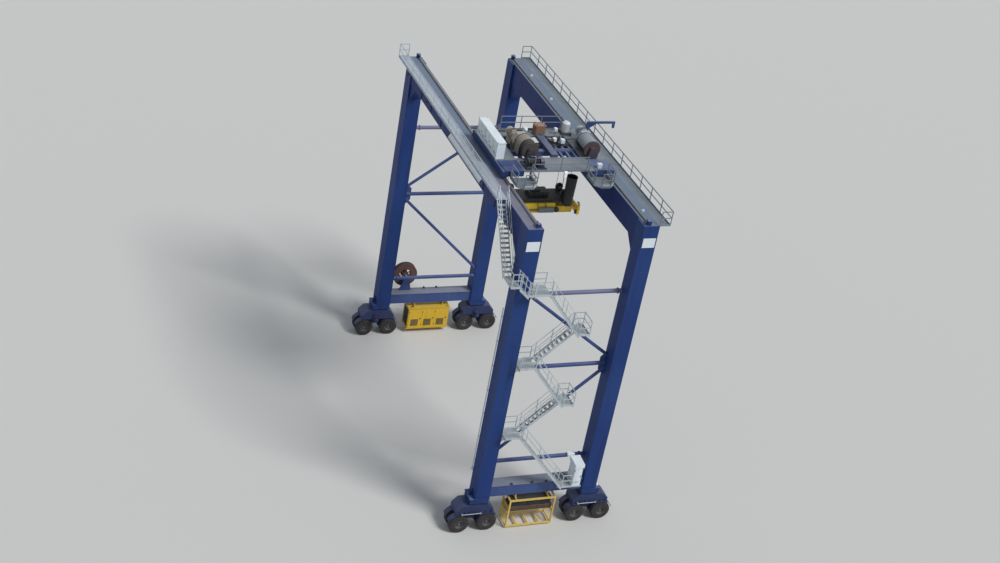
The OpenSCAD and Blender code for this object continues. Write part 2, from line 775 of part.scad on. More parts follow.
// Axle with two rims and a tyre on each rim
module wheel_pair() {
    hub_in = beam_w / 2 + running;
    color(white)
        rotate([-90, 0, 0]) {
            translate([0, 0, -twin_gap / 2 - tyre_w / 2 + 60]) cylinder(d = axle_dia, h = twin_gap + tyre_w - 120);
            for (s = [-1, 1])
                translate([0, 0, s * twin_gap / 2]) {
                    translate([0, 0, -tyre_w / 2 + 30]) difference() {
                        cylinder(d = rim_dia, h = tyre_w - 60);
                        translate([0, 0, s > 0 ? tyre_w - 60 - 130 : -1]) cylinder(d = rim_dia - 60, h = 131);
                    }
                    translate([0, 0, s > 0 ? -twin_gap / 2 + hub_in : twin_gap / 2 - hub_in - 60]) cylinder(d = 300, h = 60);
                }
        }
    color(rubber)
        rotate([-90, 0, 0])
            for (s = [-1, 1])
                translate([0, 0, s * twin_gap / 2]) rotate_extrude()
                    polygon([
                        [rim_dia / 2 + seat, -tyre_w / 2 + 40], [rim_dia / 2 + 70, -tyre_w / 2],
                        [tyre_dia / 2 - 90, -tyre_w / 2], [tyre_dia / 2 - 15, -tyre_w / 2 + 40],
                        [tyre_dia / 2, -tyre_w / 2 + 90], [tyre_dia / 2, tyre_w / 2 - 90],
                        [tyre_dia / 2 - 15, tyre_w / 2 - 40], [tyre_dia / 2 - 90, tyre_w / 2],
                        [rim_dia / 2 + 70, tyre_w / 2], [rim_dia / 2 + seat, tyre_w / 2 - 40]
                    ]);
}

module wheels(sx, sy, side) {
    translate([sx * pivot_x + side * wheel_base / 2, sy * leg_y, axle_z]) wheel_pair();
}

carriage_w = 420;
cross_w = 400;
rope_y = 480;
rope_x = 1900;
sheave_dia = 480;
beam_low = rail_z + 120;
front_edge = -3200;
rear_edge = front_edge + trolley_len;
front_walk = 500;
front_y = front_edge - front_walk;
nose_y = front_edge - 400;
deck_low = deck_z - plate_t;
deck_in_x = 2600;
deck_out_x = rail_x + 170;
right_deck_x = 2350;
cabinet_deck_y = front_edge + 1200;
rear_deck_y = rear_edge - 1100;
drum_high = 640;
left_drum_at = [-1650, front_edge + 2050, deck_z + drum_high];
right_drum_at = [3050, front_edge + 2150, deck_z + drum_high];
bearer_half = 400;
bearer_w = 160;
bearers_x = [left_drum_at[0] - bearer_half, left_drum_at[0] + bearer_half, 1100, 1600, 2100];
rear_rail_x = [-2200, 2500];
arm_y = rear_edge - 1380;
arm_t = 150;
arm_z = deck_z + 1100;
arm_end = walk_out_x + 560;

// Trolley frame: end carriages with wheels on the rails, cross beams and bearers between them
module trolley_frame() {
    translate([0, trolley_y, 0]) color(blue) {
        for (s = [-1, 1]) {
            block(
                [s * rail_x - carriage_w / 2, nose_y, rail_z + 60],
                [s * rail_x + carriage_w / 2, rear_edge, deck_low]
            );
            for (y = [front_edge + 900, rear_edge - 600])
                translate([s * rail_x - rail_w / 2 - 15, y, rail_z + 200 + seat]) rotate([0, 90, 0]) cylinder(d = 400, h = rail_w + 30);
        }
        for (y = [front_edge + 500, -rope_y, rope_y, rear_edge - 300])
            block([-rail_x, y - cross_w / 2, beam_low], [rail_x, y + cross_w / 2, deck_low]);
        for (x = bearers_x)
            block([x - bearer_w / 2, front_edge + 500, deck_z - 240], [x + bearer_w / 2, rear_edge - 300, deck_low]);
        for (s = [-1, 1])
            block([s * rail_x, nose_y, beam_low], [s * deck_in_x, cabinet_deck_y, deck_z]);
        cable_arm();
    }
}

// Arm from a post on the deck, over the right walkway and down beside it
module cable_arm() {
    y1 = arm_y + arm_t;
    block([rail_x - 100, arm_y, deck_z], [rail_x + 60, y1, arm_z]);
    xz(arm_y, y1)
        polygon([
            [rail_x - 100, arm_z], [arm_end - arm_t, arm_z], [arm_end - arm_t, arm_z - 350],
            [arm_end, arm_z - 350], [arm_end, arm_z + arm_t], [rail_x - 100, arm_z + arm_t]
        ]);
    xz(arm_y + 60, arm_y + 90)
        polygon([[rail_x + 60, arm_z - 450], [rail_x + 60, arm_z], [rail_x + 700, arm_z]]);
}

// Grating deck, corner baskets and handrails of the trolley
module trolley_deck() {
    translate([0, trolley_y, 0]) color(galvanised) {
        block([-deck_out_x, cabinet_deck_y, deck_low], [-deck_in_x, rear_edge, deck_z]);
        block([-deck_in_x, front_y, deck_low], [deck_in_x, front_edge + 1500, deck_z]);
        block([-deck_in_x, rear_deck_y, deck_low], [deck_out_x, rear_edge, deck_z]);
        block([right_deck_x, cabinet_deck_y, deck_low], [deck_out_x, rear_deck_y, deck_z]);
        rail_along_x(rear_edge - rail_t / 2, rear_rail_x[0], rear_rail_x[1], deck_z);
        rail_along_x(front_y + rail_t / 2, -basket_in + 2 * rail_t, basket_in - 2 * rail_t, deck_z);
        for (s = [-1, 1])
            basket(s);
    }
}

basket_len = 1600;
basket_w = 1500;
basket_drop = 500;
basket_arm_w = 90;
chamfer = 400;
basket_out = girder_in_x - 150;
basket_in = basket_out - basket_w;

// Corner basket on two arms below the deck's front edge, with cut corners and a handrail
module basket(s) {
    z = deck_z - basket_drop;
    y0 = front_y - basket_len;
    translate([0, 0, z]) linear_extrude(plate_t)
        polygon([
            [s * basket_out, front_y], [s * basket_out, y0 + chamfer], [s * (basket_out - chamfer), y0],
            [s * (basket_in + chamfer), y0], [s * basket_in, y0 + chamfer], [s * basket_in, front_y]
        ]);
    for (x = [basket_in, basket_out - basket_arm_w]) {
        block([s * x, front_y - 90, z], [s * (x + basket_arm_w), nose_y, z + 100]);
        block([s * x, front_y, z], [s * (x + basket_arm_w), nose_y, deck_z]);
    }
    x_ends = [s * (basket_in + chamfer), s * (basket_out - chamfer)];
    rail_along_x(y0 + rail_t / 2, min(x_ends), max(x_ends), z + plate_t);
    for (x = [basket_in + rail_t / 2, basket_out - rail_t / 2])
        rail_along_y(s * x, y0 + chamfer, front_y, z + plate_t);
}

electric_w = 600;
electric_h = 1150;
electric_y = cabinet_deck_y + 200;
roof_over = 30;

// White electrical cabinet over the left girder
module trolley_cabinet() {
    x0 = -deck_out_x + 40;
    z1 = deck_z + electric_h;
    translate([0, trolley_y, 0]) color(white) {
        block([x0, electric_y, deck_z], [x0 + electric_w, electric_y + electric_len, z1]);
        block(
            [x0 - roof_over, electric_y - roof_over, z1],
            [x0 + electric_w + roof_over, electric_y + electric_len + roof_over, z1 + 50]
        );
    }
}

drum_shaft = 200;
drum_stub = 180;
drum_flange = 80;
gearbox_gap = 30;
gearbox_len = 450;
gearbox_half = 580;
gearbox_off = 120;
motor_off = 350;
motor_len = 1300;
motor_dia = 620;
motor_high = 600;
machine_h = 1150;

// One hoist drive: gearbox and motor behind the drum, off its axis to one side, and a stand in front
module hoist_drive(at, base, side) {
    y1 = at[1] + drum_len / 2 + gearbox_gap;
    y0 = at[1] - drum_len / 2 - drum_stub;
    y2 = y1 + gearbox_len;
    box_x = at[0] + side * gearbox_off;
    motor_x = at[0] + side * motor_off;
    difference() {
        union() {
            xz(y1, y2)
                polygon([
                    [box_x - gearbox_half, base], [box_x + gearbox_half, base],
                    [box_x + gearbox_half, at[2]], [box_x + 330, deck_z + machine_h],
                    [box_x - 330, deck_z + machine_h], [box_x - gearbox_half, at[2]]
                ]);
            xz(y0, y0 + 120)
                polygon([
                    [at[0] - 380, deck_z], [at[0] + 380, deck_z], [at[0] + 180, at[2] + 200], [at[0] - 180, at[2] + 200]
                ]);
        }
        translate([at[0], y0 - 10, at[2]]) rotate([-90, 0, 0])
            cylinder(d = drum_shaft + 2 * bore_clear, h = drum_len + 2 * drum_stub + gearbox_gap);
    }
    translate([motor_x, y2, deck_z + motor_high]) rotate([-90, 0, 0]) {
        cylinder(d = motor_dia, h = 60);
        cylinder(d = motor_dia - 60, h = motor_len);
        translate([0, 0, motor_len - 260]) cylinder(d = motor_dia, h = 260);
    }
    block([motor_x - 250, y2, base], [motor_x + 250, y2 + motor_len - 200, deck_z + motor_high - motor_dia / 2 + 60]);
    block([motor_x - 160, y2 + 450, deck_z + motor_high], [motor_x + 160, y2 + 850, deck_z + motor_high + motor_dia / 2 + 90]);
}

// Two hoist drives, each with a motor, a gearbox and a bearing stand
module hoist_machinery() {
    translate([0, trolley_y, 0]) color("#6f7072") {
        hoist_drive(left_drum_at, deck_low, -1);
        hoist_drive(right_drum_at, deck_z, 1);
    }
}

module drum(at) {
    translate([at[0], trolley_y + at[1], at[2]]) color(brown) rotate([-90, 0, 0]) {
        translate([0, 0, -drum_len / 2]) cylinder(d = drum_dia, h = drum_len);
        for (z = [-drum_len / 2, drum_len / 2 - 40])
            translate([0, 0, z]) cylinder(d = drum_dia + 2 * drum_flange, h = 40);
        translate([0, 0, -drum_len / 2 - drum_stub]) cylinder(d = drum_shaft, h = drum_len + 2 * drum_stub);
    }
}

module left_drum() {
    drum(left_drum_at);
}

module right_drum() {
    drum(right_drum_at);
}

resistor_x = 150;
resistor_y = rear_edge - 1000;
resistor_w = 750;
resistor_d = 600;
resistor_h = 700;
resistor_foot = 60;
fan_at = [2600, rear_edge - 650];

// Brake resistor box, fan and cable duct between the two hoist drives
module trolley_equipment() {
    translate([0, trolley_y, 0]) {
        color("#a8694c") {
            block(
                [resistor_x, resistor_y, deck_z + resistor_foot],
                [resistor_x + resistor_w, resistor_y + resistor_d, deck_z + resistor_h]
            );
            for (x = [resistor_x + 40, resistor_x + resistor_w - 100])
                block([x, resistor_y, deck_z], [x + 60, resistor_y + resistor_d, deck_z + resistor_foot]);
        }
        color(white) translate([fan_at[0], fan_at[1], deck_z + 200]) {
            cylinder(d = 560, h = 620);
            translate([0, 0, 620]) cylinder(d1 = 560, d2 = 380, h = 80);
        }
        color(dark) block([fan_at[0] - 350, fan_at[1] - 400, deck_z], [fan_at[0] + 350, fan_at[1] + 400, deck_z + 200]);
        color("#7f8da0") block([100, front_edge + 1500, deck_low], [600, rear_deck_y - 60, deck_z + 220]);
    }
}

head_z = spreader_z + end_beam_h + 250;
head_body = 300;
sheave_z = head_z + 600;
cheek_y = 80;
head_half = 2300;
head_front = -750;
tub_at = [head_half - 350, head_front - basket_dia / 2 - 40];
tub_wall = 30;
tub_taper = 60;

// Open basket in front of the headblock's right end, which takes the spreader's cable
module cable_tub() {
    translate([tub_at[0], tub_at[1], head_z + bracket_t])
        rotate_extrude()
            polygon([
                [0, 0], [basket_dia / 2 - tub_taper, 0], [basket_dia / 2, basket_h], [basket_dia / 2 - tub_wall, basket_h],
                [basket_dia / 2 - tub_taper - tub_wall, tub_wall], [0, tub_wall]
            ]);
    block([tub_at[0] - 250, tub_at[1] - 250, head_z], [tub_at[0] + 250, head_front + 10, head_z + bracket_t]);
}

// Headblock with four sheaves on top, each with the rope's turn round its lower half
module headblock() {
    translate([load_trim, trolley_y, 0]) color(dark) {
        block([-head_half, head_front, head_z], [head_half, -head_front, head_z + head_body]);
        cable_tub();
        for (x = [-rope_x, rope_x], y = [-rope_y, rope_y]) {
            for (e = [-cheek_y - bracket_t, cheek_y])
                block([x - 200, y + e, head_z + head_body], [x + 200, y + e + bracket_t, sheave_z + 100]);
            translate([x, y + cheek_y, sheave_z]) rotate([90, 0, 0]) cylinder(d = 160, h = 2 * cheek_y);
            translate([x, y + 60, sheave_z]) rotate([90, 0, 0]) cylinder(d = sheave_dia, h = 120);
            intersection() {
                translate([x, y + rope_dia / 2, sheave_z]) rotate([90, 0, 0]) cylinder(d = sheave_dia + 2 * rope_dia, h = rope_dia);
                block([x - sheave_dia, y - rope_dia, head_z], [x + sheave_dia, y + rope_dia, sheave_z]);
            }
        }
    }
}

// Four pairs of hoist ropes between the trolley's beams and the headblock's sheaves
module hoist_ropes() {
    off = sheave_dia / 2 + rope_dia / 2 + seat;
    translate([load_trim, trolley_y, 0]) color("#3a3a3c")
        for (x = [-rope_x, rope_x], y = [-rope_y, rope_y], e = [-off, off])
            translate([x + e, y, sheave_z + seat]) cylinder(d = rope_dia, h = beam_low - sheave_z - 2 * seat, $fn = 12);
}

frame_half = 2550;
main_beam_y = 750;
main_beam_w = 300;
arm_w = 200;
arm_low = spreader_z + 150;
arm_h = 280;
outer_arm_y = main_beam_y - main_beam_w / 2 - running - arm_w / 2;
inner_arm_y = outer_arm_y - arm_w - running;

// Spreader frame: two box beams, with cross members above and below the sliding arms
module spreader_frame() {
    translate([load_trim, trolley_y, 0]) color(yellow) {
        for (y = [-main_beam_y - main_beam_w / 2, main_beam_y - main_beam_w / 2]) {
            block([-frame_half, y, spreader_z + 60], [frame_half, y + main_beam_w, spreader_z + end_beam_h]);
            block([-1200, y, spreader_z + end_beam_h], [1200, y + main_beam_w, head_z]);
        }
        for (x = [-2300, -800, 800, 2300]) {
            block([x - 120, -main_beam_y, spreader_z + 60], [x + 120, main_beam_y, arm_low - seat]);
            block([x - 120, -main_beam_y, arm_low + arm_h + running], [x + 120, main_beam_y, spreader_z + end_beam_h]);
        }
    }
}

// One telescoping end: end beam, two sliding arms and twistlocks below the corners
module spreader_end() {
    x1 = spreader_len / 2;
    color(yellow) {
        block([x1 - 200, -spreader_w / 2, spreader_z], [x1, spreader_w / 2, spreader_z + end_beam_h]);
        for (y = [outer_arm_y, -inner_arm_y])
            block([-frame_half + 50, y - arm_w / 2, arm_low], [x1 - 200, y + arm_w / 2, arm_low + arm_h]);
        for (s = [-1, 1])
            translate([lock_x / 2, s * lock_y / 2, spreader_z - 110]) {
                cylinder(d = lock_dia, h = 111);
                translate([0, 0, -50]) cylinder(d1 = lock_dia / 2, d2 = lock_dia, h = 50);
            }
    }
}

module left_spreader_end() {
    translate([load_trim, trolley_y, 0]) rotate([0, 0, 180]) spreader_end();
}

module right_spreader_end() {
    translate([load_trim, trolley_y, 0]) spreader_end();
}

left_girder();
right_girder();
near_left_leg();
near_right_leg();
far_left_leg();
far_right_leg();
near_sill();
far_sill();
near_bracing();
far_bracing();
trolley_rails();
left_walkway();
right_walkway();
girder_stair();
stair_tower();
stair_treads();
sill_cabinet();
equipment_cage();
cage_unit();
power_pack();
cable_reel();
near_left_bogie();
near_right_bogie();
far_left_bogie();
far_right_bogie();
wheels(-1, -1, -1);  // near_left_wheels_a
wheels(-1, -1, 1);  // near_left_wheels_b
wheels(1, -1, -1);  // near_right_wheels_a
wheels(1, -1, 1);  // near_right_wheels_b
wheels(-1, 1, -1);  // far_left_wheels_a
wheels(-1, 1, 1);  // far_left_wheels_b
wheels(1, 1, -1);  // far_right_wheels_a
wheels(1, 1, 1);  // far_right_wheels_b
trolley_frame();
trolley_deck();
trolley_cabinet();
hoist_machinery();
trolley_equipment();
left_drum();
right_drum();
headblock();
hoist_ropes();
spreader_frame();
left_spreader_end();
right_spreader_end();
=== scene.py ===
import math
import bpy
import bmesh
from mathutils import Matrix, Vector


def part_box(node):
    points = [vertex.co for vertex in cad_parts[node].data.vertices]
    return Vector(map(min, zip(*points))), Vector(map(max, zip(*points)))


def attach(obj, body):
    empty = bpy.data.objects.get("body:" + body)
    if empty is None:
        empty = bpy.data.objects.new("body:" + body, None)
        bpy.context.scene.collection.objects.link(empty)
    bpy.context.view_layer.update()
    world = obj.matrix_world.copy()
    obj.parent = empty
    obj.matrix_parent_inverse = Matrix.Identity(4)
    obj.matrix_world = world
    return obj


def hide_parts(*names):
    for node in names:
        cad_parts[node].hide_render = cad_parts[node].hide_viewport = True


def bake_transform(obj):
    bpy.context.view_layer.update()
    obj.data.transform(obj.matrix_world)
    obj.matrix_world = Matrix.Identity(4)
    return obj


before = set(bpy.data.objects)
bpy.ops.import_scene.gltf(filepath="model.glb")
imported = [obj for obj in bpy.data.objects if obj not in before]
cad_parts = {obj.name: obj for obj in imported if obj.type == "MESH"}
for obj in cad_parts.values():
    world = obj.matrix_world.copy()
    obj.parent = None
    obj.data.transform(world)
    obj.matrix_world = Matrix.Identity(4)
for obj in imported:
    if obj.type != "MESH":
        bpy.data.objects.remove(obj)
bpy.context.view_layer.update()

# The viewing place: a high spot off the stair side, looking down on the whole
# crane, over a pale yard floor with soft daylight from the front right.
scene = bpy.context.scene
viewpoint, lens_mm, far_clip = (-43.15, -92.434, 71.718), 56.16, 1500
turn, dip, roll = (math.radians(a) for a in (25.18, 30.06, 10.9))


def stand(name, data):
    """Sets an object up in the scene."""
    made = bpy.data.objects.new(name, data)
    scene.collection.objects.link(made)
    return made


ahead = Vector((math.sin(turn) * math.cos(dip), math.cos(turn) * math.cos(dip), -math.sin(dip)))
level = Vector((math.cos(turn), -math.sin(turn), 0))
upright = level.cross(ahead)
across = level * math.cos(roll) + upright * math.sin(roll)
overhead = upright * math.cos(roll) - level * math.sin(roll)
lens = bpy.data.cameras.new("yard_camera")
lens.lens = lens_mm
lens.clip_end = far_clip
camera = stand("yard_camera", lens)
camera.matrix_world = Matrix([(across[k], overhead[k], -ahead[k], viewpoint[k]) for k in range(3)] + [(0, 0, 0, 1)])
scene.camera = camera
scene.view_settings.view_transform = "Standard"


def colour(code):
    """Paint colour from a six-figure screen code."""
    parts = [int(code[i:i + 2], 16) / 255 for i in (0, 2, 4)]
    return tuple(p / 12.92 if p <= 0.04045 else ((p + 0.055) / 1.055) ** 2.4 for p in parts) + (1.0,)


def place(tree, kind, links=(), **settings):
    """Adds a shader node, sets its own settings and fills its sockets with links or values."""
    made = tree.nodes.new(kind)
    for key, value in settings.items():
        setattr(made, key, value)
    for socket, value in dict(links).items():
        if isinstance(value, bpy.types.NodeSocket):
            tree.links.new(value, made.inputs[socket])
        else:
            made.inputs[socket].default_value = value
    return made


def maths(tree, operation, a, b=0.0):
    """The result of a sum on two sockets or values."""
    return place(tree, "ShaderNodeMath", {0: a, 1: b}, operation=operation).outputs[0]


world = bpy.data.worlds.new("daylight")
scene.world = world
world.use_nodes = True
sky = world.node_tree
sky.nodes.clear()
path = place(sky, "ShaderNodeLightPath").outputs
seen = maths(sky, "MAXIMUM", path["Is Camera Ray"], path["Is Glossy Ray"])
seen = maths(sky, "MAXIMUM", seen, path["Is Transmission Ray"])
soft = place(sky, "ShaderNodeBackground", {"Color": colour("dde6f4"), "Strength": 0.43})
white = place(sky, "ShaderNodeBackground", {"Color": (1, 1, 1, 1), "Strength": 1.0})
mixed = place(sky, "ShaderNodeMixShader", {0: seen, 1: soft.outputs[0], 2: white.outputs[0]})
place(sky, "ShaderNodeOutputWorld", {"Surface": mixed.outputs[0]})


def lamp(name, aim, strength, angle):
    """A soft sun that shines along aim."""
    light = bpy.data.lights.new(name, "SUN")
    light.energy = strength
    light.angle = math.radians(angle)
    stand(name, light).rotation_euler = Vector(aim).to_track_quat("-Z", "Y").to_euler()


lamp("day_key", (-0.42, 0.55, -0.85), 2.4, 18)
lamp("day_fill", (0.6, 0.5, -0.35), 0.03, 60)

floor_mesh = bpy.data.meshes.new("yard_floor")
floor_mesh.from_pydata([(-600, -600, 0), (600, -600, 0), (600, 900, 0), (-600, 900, 0)], [], [(0, 1, 2, 3)])
floor = stand("yard_floor", floor_mesh)
pale = bpy.data.materials.new("pale_floor")
pale.use_nodes = True
pale_shader = pale.node_tree.nodes["Principled BSDF"]
pale_shader.inputs["Base Color"].default_value = colour("c9c8c4")
pale_shader.inputs["Roughness"].default_value = 0.9
floor_mesh.materials.append(pale)

# Legs and girders are welded steel boxes, sprayed blue and chalked by the sun.
# Rain draws streaks down the webs, dust lies on the flanges and rust starts at the seams;
# upward faces are paler, partly from that dust and partly as painted sheen of the sky.


def new_group(name, takes, gives):
    """A shader group with float inputs and float outputs."""
    tree = bpy.data.node_groups.new(name, "ShaderNodeTree")
    for label, value in takes.items():
        tree.interface.new_socket(label, in_out="INPUT", socket_type="NodeSocketFloat").default_value = value
    for label in gives:
        tree.interface.new_socket(label, in_out="OUTPUT", socket_type="NodeSocketFloat")
    return tree, tree.nodes.new("NodeGroupInput").outputs, tree.nodes.new("NodeGroupOutput").inputs


def crane_place(tree):
    """The place on the crane, in metres."""
    return place(tree, "ShaderNodeTexCoord").outputs["Object"]


def facing_up(tree):
    """How far the surface faces up, from -1 to 1."""
    normal = place(tree, "ShaderNodeNewGeometry").outputs["Normal"]
    return place(tree, "ShaderNodeSeparateXYZ", {0: normal}).outputs["Z"]


def noise(tree, stretch, scale, detail=4.0, rough=0.55):
    """Noise in the crane's own metres, stretched by a factor on each axis."""
    spread_out = place(tree, "ShaderNodeMapping", {"Vector": crane_place(tree), "Scale": stretch}).outputs[0]
    grain = {"Vector": spread_out, "Scale": scale, "Detail": detail, "Roughness": rough}
    return place(tree, "ShaderNodeTexNoise", grain).outputs[0]


def step(tree, value, low, high):
    """Turns a value into a mask from 0 at low to 1 at high."""
    ends = {"Value": value, "From Min": low, "From Max": high}
    return place(tree, "ShaderNodeMapRange", ends, interpolation_type="SMOOTHSTEP").outputs[0]


def weather_group():
    """Masks for what the yard's weather does to every surface of the crane; the upward-face mask is settled dirt
    together with painted sky sheen.
    """
    tree, takes, gives = new_group("yard_weather", {"Streak": 1.0, "Rust": 1.0, "Cover": 0.0},
                                   ["Streaks", "Fade", "Dust and sheen", "Rust", "Grain"])
    facing = facing_up(tree)
    runs = step(tree, noise(tree, (2.4, 2.4, 0.16), 1.0, 6), 0.5, 0.78)
    streak = maths(tree, "MULTIPLY", runs, step(tree, facing, 0.6, 0.2))
    drift = step(tree, noise(tree, (1, 1, 1), 1.3, 5), 0.25, 0.75)
    drift = place(tree, "ShaderNodeMapRange", {"Value": drift, "To Min": takes["Cover"]}).outputs[0]
    spots = step(tree, noise(tree, (1, 1, 0.6), 3.1, 8, 0.7), 0.64, 0.74)
    for label, value in (("Streaks", maths(tree, "MULTIPLY", streak, takes["Streak"])),
                         ("Fade", step(tree, noise(tree, (1, 1, 0.5), 0.35), 0.35, 0.7)),
                         # Upward faces: paler from settled dust and from a painted sheen of the sky.
                         ("Dust and sheen", maths(tree, "MULTIPLY", step(tree, facing, 0.4, 0.9), drift)),
                         ("Rust", maths(tree, "MULTIPLY", spots, takes["Rust"])),
                         ("Grain", noise(tree, (1, 1, 1), 28, 5, 0.6))):
        tree.links.new(value, gives[label])
    return tree


weather = weather_group()


def tint(tree, amount, base, over, strength=1.0):
    """Lays one colour over another by a mask."""
    colours = {"Factor": maths(tree, "MULTIPLY", amount, strength), 6: base, 7: over}
    return place(tree, "ShaderNodeMix", colours, data_type="RGBA").outputs[2]


def paint(name, base, faded, dust_and_sheen, wear, rough=0.5, metal=0.0, shine=0.5, cover=0.0, soot="15171c", rust="5a3826"):
    """Weathered paint or bare metal; wear is the strength of dark runs, fading, the paler tint of upward faces
    (settled dirt and painted sky sheen) and rust.
    """
    made = bpy.data.materials.new(name)
    made.use_nodes = True
    tree = made.node_tree
    shader = tree.nodes["Principled BSDF"].inputs
    look = place(tree, "ShaderNodeGroup", {"Cover": cover}, node_tree=weather).outputs
    streak, fade, dust_and_sheen_strength, rusty = wear
    top = tint(tree, look["Fade"], colour(base), colour(faded), fade)
    # Upward faces get a paler tint: settled dust and a painted sheen of the sky.
    for label, code, strength in (("Streaks", soot, streak), ("Dust and sheen", dust_and_sheen, dust_and_sheen_strength), ("Rust", rust, rusty)):
        top = tint(tree, look[label], top, colour(code), strength)
    tree.links.new(top, shader["Base Color"])
    gloss = {"Value": look["Grain"], "To Min": rough - 0.08, "To Max": rough + 0.14}
    tree.links.new(place(tree, "ShaderNodeMapRange", gloss).outputs[0], shader["Roughness"])
    shader["Metallic"].default_value = metal
    shader["Specular IOR Level"].default_value = shine
    dents = place(tree, "ShaderNodeBump", {"Height": look["Grain"], "Strength": 0.12, "Distance": 0.01})
    tree.links.new(dents.outputs[0], shader["Normal"])
    return made


def patched(made, *patches):
    """Adds flat areas of other colours to a paint, each inside its own box of places."""
    tree = made.node_tree
    look = place(tree, "ShaderNodeGroup", node_tree=weather).outputs
    base = tree.nodes["Principled BSDF"].inputs["Base Color"]
    top = base.links[0].from_socket
    where = place(tree, "ShaderNodeSeparateXYZ", {0: crane_place(tree)}).outputs
    for code, spans in patches:
        mask = 1.0
        for axis, (low, high) in spans.items():
            mask = maths(tree, "MULTIPLY", mask, maths(tree, "GREATER_THAN", where[axis], low))
            mask = maths(tree, "MULTIPLY", mask, maths(tree, "LESS_THAN", where[axis], high))
        worn = tint(tree, look["Streaks"], colour(code), colour("2b2826"), 0.35)
        # Patches take the same paler tint on upward faces: dust and painted sky sheen.
        worn = tint(tree, look["Dust and sheen"], worn, colour("a09a92"), 0.3)
        worn = tint(tree, look["Rust"], worn, colour("5a3826"), 0.3)
        top = tint(tree, mask, top, worn)
    tree.links.new(top, base)


def dress(nodes, material):
    """Gives carried-over solids their finish."""
    for name in nodes:
        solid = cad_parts[name]
        if not solid.material_slots:
            solid.data.materials.append(material)
        for holder in solid.material_slots:
            holder.material = material


corners = ["near_left", "near_right", "far_left", "far_right"]
blue = paint("chalked_blue_paint", "1c366f", "28457c", "7f8ba2", (0.42, 0.5, 0.55, 0.35), shine=0.2)
# The girders' upward faces are tinted pale almost evenly: painted sheen of the sky on the blue, with dust.
girder_blue = paint("girder_blue_paint", "1e3069", "294078", "707e90", (0.5, 0.5, 0.95, 0.3), shine=0.15, cover=0.88)
# The top of the left girder's near end is patched a paler grey-violet: painted sky reflection on the blue.
patched(girder_blue, ("6d7085", {"X": (-5.0, -3.4), "Y": (-13.5, -5.6), "Z": (24.98, 25.06)}))
dress([corner + "_leg" for corner in corners], blue)
dress(["left_girder", "right_girder"], girder_blue)

# Site joints of the legs and girders: each box is shipped in lengths, butted together
# and welded round, with a flat seam band, and each leg is bolted down at its foot.
x_way, y_way, z_way = (1, 0, 0), (0, 1, 0), (0, 0, 1)
leg_in_x, leg_out_x, leg_in_y, leg_out_y = 3.6, 4.72, 12.2, 13.4
web_in_x, web_out_x = 3.75, 4.65
bead, band, foot_bolt_z = 0.006, 0.035, 2.94


def around(count, start=0.0):
    """Cosine and sine of even steps round a circle, from a start in degrees."""
    angles = [math.radians(start + 360 * k / count) for k in range(count)]
    return [(math.cos(a), math.sin(a)) for a in angles]


def spread(low, high, count):
    """Even places from low to high, both ends included."""
    return [low + (high - low) * k / (count - 1) for k in range(count)]


def shift(at, x=0.0, y=0.0, z=0.0):
    """A point moved by some metres."""
    return Vector(at) + Vector((x, y, z))


def sideways(at, axis, u, v):
    """A point moved by u and v in the plane across one of the crane's axes."""
    first, second = [k for k in range(3) if not axis[k]]
    moved = Vector(at)
    moved[first] += u
    moved[second] += v
    return moved


def skin(rings, sides):
    """Faces of a tube of rings with both ends shut."""
    faces = [[i * sides + k, i * sides + (k + 1) % sides, (i + 1) * sides + (k + 1) % sides, (i + 1) * sides + k]
             for i in range(rings - 1) for k in range(sides)]
    return faces + [list(range(sides))[::-1], [(rings - 1) * sides + k for k in range(sides)]]


